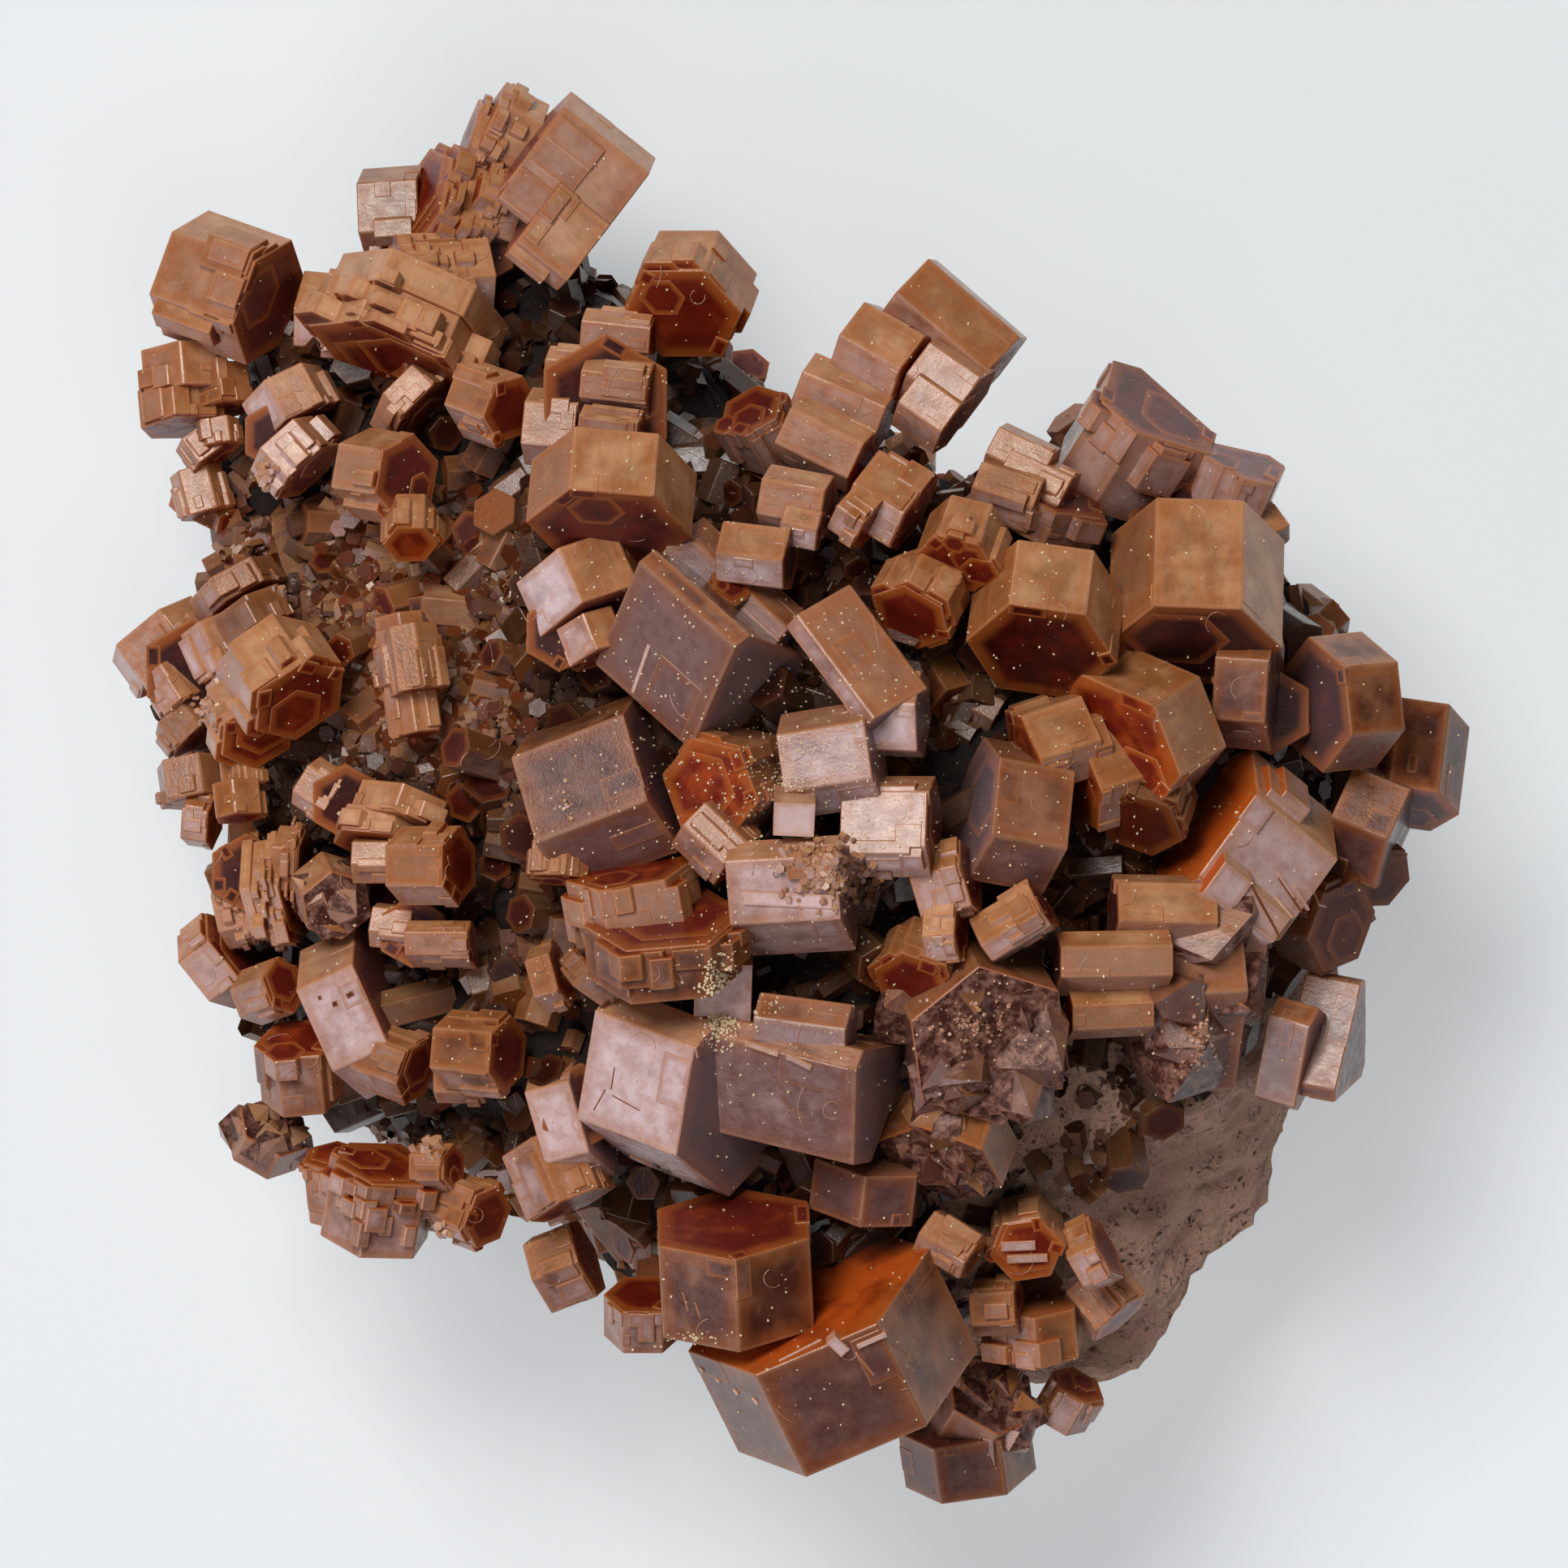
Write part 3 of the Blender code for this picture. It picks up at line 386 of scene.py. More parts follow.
CLUSTERS = {
    "top_large_crystal": [
        Lying((-6.7, 30.2), (-10.9, 33.5), (-13.7, 29.8), 2.0, 0.7, wings=(0.5, 0.2), depth=0.8),
        Lying((-8.6, 27.7), (-11.1, 29.7), (-13.2, 26.9), 0.8, 0.4, wings=(0.4, 0.3)),
    ],
    "top_left_column": [
        Lying((-11.9, 32.8), (-14.1, 33.9), (-15.3, 31.5), 1.2, 0.3),
        Lying((-13.3, 30.9), (-15.6, 31.7), (-16.5, 29.7), 0.2, 0.3),
        Lying((-12.8, 28.8), (-14.8, 29.5), (-15.6, 27.5), 0.0, 0.3),
        Lying((-14.2, 27.2), (-17.0, 28.4), (-18.9, 25.8), -0.3, 1.2),
        Lying((-14.2, 25.2), (-18.6, 24.9), (-18.8, 22.6), -0.2, 1.2),
        Lying((-14.6, 22.8), (-18.4, 22.2), (-18.8, 19.8), -0.2, 1.4),
        Standing((-15.8, 27.0), 0, 0, 5.4, 4.0, -1.4),
        Standing((-15.4, 29.6), 0, 0, 4.4, 4.0, -0.8),
    ],
    "upper_hexagonal_crystal": [
        Standing((-5.0, 23.2), 250, 40, 6.2, 3.4, 0.8, 25),
    ],
    "upper_middle_cluster": [
        Lying((-10.0, 22.9), (-6.6, 22.5), (-6.8, 20.0), 0.6, 0.7, fold=0.5),
        Lying((-10.0, 20.4), (-6.7, 20.0), (-6.9, 17.8), 0.9, 0.7, fold=0.4),
        Lying((-10.1, 18.2), (-7.2, 17.8), (-7.4, 15.9), 0.5, 0.7, fold=0.4),
        Lying((-12.8, 18.9), (-10.2, 18.7), (-10.4, 16.6), 0.2, 0.5),
        Lying((-11.8, 21.0), (-9.8, 20.8), (-9.9, 19.4), 0.2, 0.4),
        Standing((-13.5, 18.5), -20, 45, 3.6, 3.0, -0.4),
        Standing((-8.8, 18.7), 0, 0, 7.0, 4.0, -0.4),
    ],
    "upper_left_red_crystal": [
        Standing((-25.6, 23.9), -20, 64, 6.8, 5.0, 1.0),
    ],
    "upper_left_tan_crystal": [
        Standing((-19.4, 20.9), 246, 72, 9.2, 4.2, 0.8),
        Lying((-23.9, 25.6), (-21.0, 25.3), (-21.5, 23.4), 0.4, 0.6),
        Lying((-21.4, 25.6), (-19.5, 25.3), (-20.2, 23.4), 0.3, 0.5),
    ],
    "left_upper_lavender_crystal": [
        Lying((-26.0, 16.7), (-24.6, 15.2), (-22.9, 16.7), 1.8, 0.6),
        Lying((-27.0, 18.9), (-25.9, 16.9), (-24.7, 18.1), 1.3, 0.6),
        Standing((-25.2, 17.3), 0, 0, 3.6, 3.5, 0.4),
    ],
    "left_upper_red_crystal": [
        Standing((-18.6, 15.1), -10, 42, 4.4, 3.4, 0.6),
        Lying((-20.6, 17.8), (-19.5, 16.8), (-18.8, 18.3), 0.5, 0.4),
    ],
    "upper_centre_red_crystal": [
        Standing((-8.6, 12.5), 265, 60, 8.2, 3.6, 1.8),
    ],
    "centre_left_lavender_crystal": [
        Lying((-13.2, 9.9), (-12.0, 7.2), (-9.9, 8.9), 0.8, 0.9),
        Lying((-11.2, 7.6), (-10.5, 5.8), (-9.2, 6.6), 0.2, 0.5),
        Standing((-11.0, 7.4), 0, 0, 3.8, 3.6, -0.7),
    ],
    "centre_mauve_crystal": [
        Lying((-9.3, 5.9), (-4.6, 1.7), (-2.4, 6.7), 1.4, 2.8, wings=(0.3, 0.15), depth=0.6),
        Lying((-6.5, 10.8), (-1.3, 5.9), (0.2, 7.6), -0.8, 1.6),
    ],
    "upper_right_light_pair": [
        Lying((-1.1, 15.0), (2.0, 14.4), (1.7, 12.7), 0.9, 0.8),
        Lying((-3.0, 12.9), (0.3, 12.5), (-0.1, 10.9), 1.2, 0.8),
        Lying((-0.2, 12.8), (1.6, 12.4), (1.5, 11.4), 0.6, 0.3),
    ],
    "upper_right_tan_crystal": [
        Lying((2.7, 22.1), (5.7, 20.4), (5.0, 18.3), 0.6, 1.0),
        Lying((0.3, 18.5), (3.9, 16.7), (3.1, 15.0), 0.0, 0.9),
        Lying((0.9, 20.3), (5.0, 18.5), (4.3, 16.7), -0.2, 0.8),
    ],
    "upper_right_long_crystal": [
        Lying((5.5, 24.2), (10.0, 20.3), (8.5, 18.3), 0.4, 0.6),
        Lying((7.4, 22.5), (10.1, 20.3), (9.0, 18.9), 0.8, 0.4),
        Lying((6.0, 20.2), (8.5, 18.4), (8.0, 17.1), 0.2, 0.6),
        Lying((5.6, 18.8), (7.7, 17.3), (7.3, 16.2), 0.0, 0.5),
    ],
    "upper_right_red_hexagon": [
        Standing((8.4, 10.8), 250, 50, 4.2, 2.8, 0.3, 10),
    ],
    "upper_right_peak": [
        Lying((11.2, 16.5), (14.2, 15.1), (13.0, 12.9), 0.4, 0.8, fold=0.35),
        Lying((10.6, 17.6), (13.3, 16.3), (12.6, 15.0), 0.2, 0.6),
        Lying((9.2, 14.6), (12.2, 13.6), (11.8, 11.6), 0.2, 0.5, fold=0.35),
    ],
    "right_upper_red_crystal": [
        Standing((12.6, 6.5), 262, 50, 7.5, 4.2, 0.6),
    ],
    "right_upper_tan_crystal": [
        Standing((20.2, 6.8), 268, 60, 8.6, 6.2, 1.6),
        Lying((15.0, 13.4), (17.4, 17.2), (21.0, 16.2), -0.6, 2.0, wings=(0.6, 0.6)),
        Lying((19.0, 12.4), (20.6, 16.4), (22.6, 15.0), -0.2, 1.6, wings=(0.6, 0.6)),
        Lying((21.2, 15.0), (23.4, 12.0), (21.6, 10.4), -0.6, 0.9),
        Standing((19.6, 12.4), 0, 0, 6.0, 5.0, -1.6),
    ],
    "right_orange_crystal": [
        Lying((16.6, 7.0), (14.3, 5.5), (18.1, 3.8), 1.0, 2.6, wings=(0.2, 0.8)),
        Lying((14.6, 4.4), (11.6, 3.4), (12.6, 1.2), 0.2, 1.0),
        Lying((16.9, 3.4), (14.4, 2.6), (15.6, -0.4), 0.2, 1.0),
    ],
    "right_dark_hexagon": [
        Standing((26.2, 3.9), 186, 58, 6.8, 3.2, 1.0),
        Lying((21.0, 5.1), (22.4, 5.9), (23.2, 4.4), 0.4, 0.4),
        Lying((21.0, 3.2), (23.6, 3.0), (24.0, 1.6), 0.6, 0.4),
        Standing((24.0, 3.6), 0, 0, 4.4, 3.6, -0.8),
    ],
    "right_edge_crystal": [
        Standing((31.0, -1.2), 262, 62, 4.9, 5.0, 0.6),
        Lying((27.0, -1.6), (29.8, -2.7), (29.2, -5.2), 0.3, 0.5),
    ],
    "right_lavender_crystal": [
        Lying((27.3, -3.8), (23.3, -0.6), (20.4, -4.6), 1.5, 2.4, depth=0.9),
    ],
    "centre_top_mauve_crystal": [
        Lying((3.2, 9.8), (7.0, 4.7), (4.4, 3.2), 0.6, 1.8, wings=(0.15, 0.3)),
    ],
    "centre_white_crystal": [
        Lying((-0.4, 2.4), (3.9, 3.1), (4.3, 0.3), 1.2, 0.8),
        Lying((3.2, 4.0), (6.4, 3.9), (6.5, 1.6), 0.2, 0.6),
    ],
    "centre_light_crystal": [
        Lying((2.8, -0.4), (7.0, -0.4), (6.9, -3.1), 0.8, 0.8),
    ],
    "centre_right_mauve_crystal": [
        Lying((14.3, 0.6), (10.6, 1.3), (10.2, -2.5), 0.8, 1.2),
    ],
    "centre_bright_crystal": [
        Lying((-2.9, -3.8), (2.5, -3.5), (2.75, -6.6), 2.2, 0.9, wings=(0.5, 1.4)),
    ],
    "centre_right_small_crystal": [
        Lying((6.1, -4.6), (8.6, -4.0), (9.2, -6.0), 0.2, 0.6),
        Lying((9.0, -6.6), (11.9, -4.8), (12.9, -7.0), 0.6, 0.6, fold=0.4),
        Lying((6.8, -5.9), (8.4, -5.8), (8.3, -7.4), 0.4, 0.4),
    ],
    "lower_centre_mauve_crystal": [
        Lying((-4.5, -12.1), (3.5, -14.0), (3.4, -18.7), 1.2, 2.5, wings=(0.2, 0.5), depth=0.8),
        Lying((-1.5, -11.4), (3.0, -12.0), (2.9, -13.7), 1.8, 0.8),
    ],
    "lower_centre_lavender_crystal": [
        Lying((-9.3, -11.1), (-4.4, -12.9), (-5.3, -18.2), 1.6, 3.2, wings=(0.35, 1.1)),
        Lying((-12.8, -15.2), (-10.6, -14.6), (-9.6, -18.1), -0.4, 0.8),
        Standing((-10.0, -15.9), 0, 0, 4.4, 4.0, -1.4),
    ],
    "right_lower_blocks": [
        Lying((21.3, -4.9), (16.4, -4.8), (16.5, -8.3), 0.8, 0.8, fold=0.45),
        Lying((19.1, -7.9), (13.6, -8.0), (13.6, -11.0), 1.4, 0.8, fold=0.5),
        Lying((18.2, -10.7), (14.2, -10.9), (14.2, -12.9), 0.8, 0.7, fold=0.4),
        Lying((23.9, -7.2), (20.4, -7.2), (20.2, -8.8), 0.4, 0.5),
    ],
    "right_lower_broken_crystal": [
        Lying((22.9, -10.2), (18.4, -10.4), (17.8, -15.6), 0.6, 0.8, depth=0.6),
    ],
    "right_lower_laths": [
        Lying((23.9, -11.4), (25.9, -12.0), (25.2, -16.0), 0.4, 0.6, wings=(0.3, 0.2), depth=0.6),
        Lying((25.8, -9.4), (28.5, -9.9), (27.2, -15.1), 0.2, 0.6, wings=(0.2, 0.15), depth=0.6),
    ],
    "lower_right_broken_crystal": [
        Standing((10.2, -13.0), -60, 25, 9.2, 5.0, 1.2, 10),
    ],
    "lower_underside_crystal": [
        Lying((1.5, -18.4), (1.2, -20.9), (3.7, -21.8), -0.5, -0.8),
        Standing((7.6, -18.9), 250, 60, 7.0, 3.0, -0.5),
    ],
    "lower_right_orange_crystal": [
        Standing((12.0, -23.0), 270, 25, 3.8, 3.0, 0.0, 10),
    ],
    "bottom_right_blocks": [
        Lying((9.1, -25.2), (11.3, -25.1), (11.4, -26.7), 0.4, 0.5),
        Lying((12.3, -26.4), (12.5, -28.9), (10.3, -28.6), 0.2, -0.8),
    ],
    "bottom_large_crystal": [
        Standing((1.2, -25.4), 116, 66, 13.0, 6.2, 1.0, -7),
    ],
    "bottom_orange_crystal": [
        Standing((-2.5, -21.6), 93, 66, 8.6, 5.0, 1.6, 30),
    ],
    "bottom_edge_crystal": [
        Standing((8.9, -31.7), 98, 70, 6.6, 3.0, -0.6),
        Standing((10.4, -30.0), 60, 40, 5.2, 3.6, 0.4),
    ],
    "left_tip_crystal": [
        Lying((-33.3, 6.9), (-31.9, 5.0), (-29.7, 6.8), 0.6, 0.5),
        Lying((-30.0, 7.4), (-28.9, 5.0), (-27.9, 5.7), 0.8, 0.5),
        Lying((-28.7, 5.6), (-28.2, 4.3), (-27.2, 5.2), 0.6, 0.3),
        Lying((-31.0, 6.0), (-29.8, 4.2), (-28.6, 4.8), 0.0, 0.4),
        Standing((-29.4, 5.6), 0, 0, 5.2, 3.4, -0.4),
    ],
    "left_red_crystal": [
        Standing((-23.9, 4.1), -55, 50, 5.4, 3.8, 1.2),
        Standing((-26.0, 2.4), -60, 40, 4.2, 3.0, 0.4),
    ],
    "left_stacked_crystal": [
        Lying((-26.9, -2.8), (-25.0, -2.5), (-25.1, -5.0), 0.6, 0.5),
        Lying((-25.4, -3.1), (-24.1, -3.2), (-24.2, -5.4), 0.3, 0.3),
        Lying((-28.5, -5.4), (-26.9, -5.0), (-26.5, -6.9), 0.0, 0.4),
        Standing((-26.6, -4.4), 0, 0, 4.0, 3.0, -0.6),
    ],
    "left_pink_blocks": [
        Lying((-20.8, 0.3), (-21.3, -1.1), (-19.2, -1.3), 0.2, 0.4),
        Lying((-21.5, -0.9), (-21.8, -2.2), (-19.3, -2.4), 0.6, 0.5),
        Lying((-23.5, 1.0), (-21.9, 0.0), (-22.7, -1.3), 0.4, 0.5),
        Standing((-21.6, -0.9), 0, 0, 3.8, 3.0, -0.6),
    ],
    "left_broken_crystal": [
        Standing((-22.0, -6.1), -60, 25, 4.0, 3.0, 0.6, 10),
    ],
    "left_middle_blocks": [
        Lying((-21.3, -2.8), (-18.2, -2.8), (-18.3, -4.9), 0.5, 0.4, fold=0.45),
        Standing((-16.0, -4.0), 0, 62, 4.0, 3.2, 0.5),
    ],
    "left_lower_blocks": [
        Lying((-20.3, -6.0), (-18.3, -6.2), (-18.5, -7.4), 0.2, 0.4),
        Lying((-18.7, -7.3), (-15.6, -7.3), (-15.5, -10.1), 0.7, 0.8, fold=0.6),
        Standing((-18.3, -7.3), 0, 0, 3.6, 3.0, -0.6),
    ],
    "lower_left_lavender_crystal": [
        Lying((-24.1, -10.2), (-21.3, -8.9), (-19.5, -12.9), 1.6, 0.9),
    ],
    "lower_left_edge_crystal": [
        Lying((-30.1, -8.9), (-28.6, -7.7), (-27.0, -9.7), 0.4, 0.8),
    ],
    "lower_left_orange_crystal": [
        Standing((-24.1, -12.6), 95, 60, 4.2, 3.4, 0.4),
    ],
    "lower_left_red_crystal": [
        Standing((-13.6, -13.3), -5, 60, 4.0, 3.4, 0.2),
        Lying((-17.3, -13.8), (-14.9, -13.8), (-14.9, -15.2), 0.2, 0.5),
    ],
    "bottom_left_orange_crystal": [
        Standing((-19.6, -18.8), 80, 66, 5.6, 4.0, 0.8, 20),
        Standing((-22.3, -18.4), 95, 64, 3.2, 3.4, 0.0, 20),
    ],
    "centre_left_block": [
        Lying((-13.4, 1.3), (-7.9, 3.4), (-6.7, -0.8), 1.0, 1.6),
    ],
    "centre_left_orange_crystal": [
        Standing((-5.8, -6.6), 95, 66, 8.2, 2.9, 0.8),
        Standing((-7.6, -4.2), 100, 74, 6.6, 3.4, -0.6),
    ],
    "centre_pink_crystal": [
        Standing((-3.6, -0.2), 200, 30, 5.4, 4.0, 0.0),
        Lying((-5.0, -2.0), (-2.9, -4.0), (-3.5, -5.0), 0.6, 0.5),
    ],
}

# Smaller crystals that grow straight out of the rock and are one solid with it.
ROOTED = [
    Lying((-32.2, 19.6), (-32.0, 17.7), (-30.2, 18.3), 0.0, 0.5),
    Lying((-32.0, 21.6), (-31.8, 19.4), (-29.8, 19.9), 0.2, 0.5),
    Lying((-30.1, 20.6), (-29.8, 18.6), (-27.9, 19.1), 0.3, 0.5),
    Lying((-21.3, 29.9), (-18.3, 30.1), (-18.2, 27.6), 0.0, 0.5),
    Lying((-18.6, 28.8), (-17.2, 28.2), (-18.0, 26.7), 0.4, 0.5),
    Lying((4.7, 16.5), (7.2, 15.0), (5.9, 13.3), 0.6, 0.6),
    Lying((3.6, 14.8), (4.9, 13.9), (3.9, 12.8), 0.8, 0.4),
    Standing((6.2, -9.8), 250, 40, 4.0, 3.0, -0.8),
    Lying((7.4, -21.0), (9.7, -22.4), (8.9, -23.5), 0.4, 0.6),
    Lying((15.3, -23.8), (16.9, -25.7), (15.5, -27.0), 0.0, 0.6),
    Lying((-29.6, 9.1), (-28.9, 7.9), (-27.7, 9.1), 0.2, 0.3),
    Lying((-28.4, 8.2), (-27.6, 6.7), (-25.9, 7.9), 0.5, 0.4),
    Lying((-20.2, 8.2), (-19.3, 2.3), (-18.1, 2.6), 0.0, 0.8),
    Lying((-19.9, 6.8), (-19.6, 4.9), (-18.4, 5.1), 0.3, 0.3),
    Lying((-18.2, 8.0), (-17.7, 4.8), (-16.6, 4.8), 0.0, 0.5),
    Standing((-25.2, -16.9), 60, 50, 4.2, 2.0, -0.2),
    Lying((-28.9, 18.2), (-28.7, 16.9), (-27.5, 17.1), 0.4, 0.4),
    Lying((-30.0, 17.2), (-29.1, 16.0), (-27.9, 16.9), 0.0, 0.4),
    Lying((-30.2, 15.6), (-29.6, 13.4), (-28.2, 13.8), -0.6, 0.4),
    Lying((-31.2, 3.0), (-30.2, 1.8), (-29.0, 2.9), 0.2, 0.4),
    Lying((-30.9, 1.2), (-30.6, -0.8), (-28.8, -0.4), 0.0, 0.5),
    Lying((-28.0, 1.2), (-27.8, -0.2), (-26.6, 0.1), 0.4, 0.3),
    Lying((-27.3, 0.3), (-27.1, -1.4), (-25.8, -1.4), 0.4, 0.4),
    Lying((-29.9, -1.2), (-28.6, -1.4), (-28.7, -2.9), -0.2, 0.4),
    Lying((-28.8, -4.4), (-27.8, -3.9), (-27.4, -4.9), -0.2, 0.4),
    Lying((-12.1, -2.0), (-12.3, -4.4), (-10.7, -4.4), 0.6, 0.5),
    Lying((-10.4, -9.9), (-9.6, -8.9), (-8.2, -9.9), 0.6, 0.3),
    Lying((-12.8, -8.7), (-11.6, -8.3), (-11.1, -10.1), 0.2, 0.4),
    Lying((-10.3, -6.9), (-9.0, -6.8), (-8.9, -8.0), 0.4, 0.3),
    Lying((-14.0, -18.4), (-12.6, -21.6), (-11.1, -20.6), 0.4, 0.6),
    Lying((-12.5, -24.5), (-10.2, -23.6), (-9.2, -25.3), 0.0, 0.6),
    Lying((12.7, 11.6), (13.4, 13.3), (15.7, 13.0), 0.0, 0.6),
    Lying((13.6, -22.0), (15.0, -21.3), (15.3, -22.7), 0.2, 0.4),
    Standing((-7.0, -25.2), 90, 60, 4.0, 2.4, -0.4),
    Standing((-14.6, -21.4), -20, 50, 3.4, 3.0, 0.2),
    Standing((-16.3, -18.9), 0, 60, 2.4, 2.0, 0.2),
    Standing((-18.1, -14.2), -20, 60, 3.6, 3.0, -0.2),
    Standing((-24.7, -10.0), 20, 45, 3.0, 2.5, 0.0),
    Standing((-18.4, 11.8), 270, 45, 2.8, 2.4, 0.4),
    Standing((6.2, 8.2), 240, 50, 4.4, 3.0, -0.8),
    Standing((17.5, -2.0), 250, 50, 4.6, 3.0, -0.6),
    Standing((27.6, -7.0), -20, 50, 5.0, 3.0, -0.4),
    Standing((29.8, -4.8), -40, 50, 3.4, 2.4, -0.2),
    Standing((14.6, -29.8), 60, 60, 3.0, 2.2, 0.0),
    Standing((-1.6, 18.4), 120, 50, 3.6, 3.0, -0.6),
    Standing((-2.6, 9.8), 60, 30, 2.2, 2.0, -0.2),
]



class Part(Enum):
    """Which kind of crystal surface a face is."""

    PRISM = 0.0
    END = 1.0
    BROKEN = 2.0
    DUST = 3.0


@dataclass(frozen=True)
class Tone:
    """A crystal's own colouring, with the strength of the sheen painted on it.

    Attributes:
        light: Paler above zero, darker below.
        mauve: Share of the dull mauve bloom over all of it, painted stronger on faces that lean to the
            front as a painted sheen.
        front_sheen: Strength of the painted sheen on the faces that lean to the front.
        glow: Share of clear orange in the ends.
    """

    light: float
    mauve: float
    front_sheen: float
    glow: float

    def varied(self, chance: random.Random, spread: float) -> "Tone":
        """The same colouring, a little changed.

        Args:
            chance: Source of the change.
            spread: Largest change.

        Returns:
            The new tone.
        """
        light = self.light + chance.uniform(-spread, spread)
        mauve = self.mauve + chance.uniform(-spread, spread)
        return Tone(light, mauve, self.front_sheen + chance.uniform(-spread, spread), self.glow)


@dataclass(frozen=True)
class Habit:
    """How a crystal's faces are built up of smaller parallel ones.

    Attributes:
        slabs: How many layers the prism is stacked from.
        slip: Largest sideways step between layers, as a share of the width.
        plates: Thin raised plates on each prism face that shows.
        plate_rise: How far a plate stands out, in millimetres.
        end_plates: Raised plates on the end.
        twins: Smaller parallel prisms grown into its edges.
        twin_step: How far they stand out, as a share of the width.
        twin_shares: Their least and greatest width, as shares of the crystal's.
        twin_drop: How far down the crystal their ends reach, as a share of its length.
        twin_heights: Their least and greatest length, as shares of the crystal's.
        rough: Whether the crystal is broken into angular pieces.
    """

    slabs: int = 2
    slip: float = 0.03
    plates: int = 3
    plate_rise: float = 0.12
    end_plates: int = 1
    twins: int = 0
    twin_step: float = 0.1
    twin_shares: tuple[float, float] = (0.22, 0.55)
    twin_drop: float = 0.3
    twin_heights: tuple[float, float] = (0.25, 0.8)
    rough: bool = False


SMOOTH = Habit(slabs=1, slip=0.0, plates=1, plate_rise=0.05, end_plates=1)
STEPPED = Habit(slabs=1, slip=0.02, plates=2, plate_rise=0.09, end_plates=1, twins=6, twin_step=0.07)
BLOCKY = Habit(
    slabs=2, slip=0.05, plates=1, plate_rise=0.15, end_plates=2, twins=34, twin_step=0.1,
    twin_shares=(0.13, 0.36), twin_drop=0.8, twin_heights=(0.1, 0.35),
)
SHATTERED = Habit(rough=True)


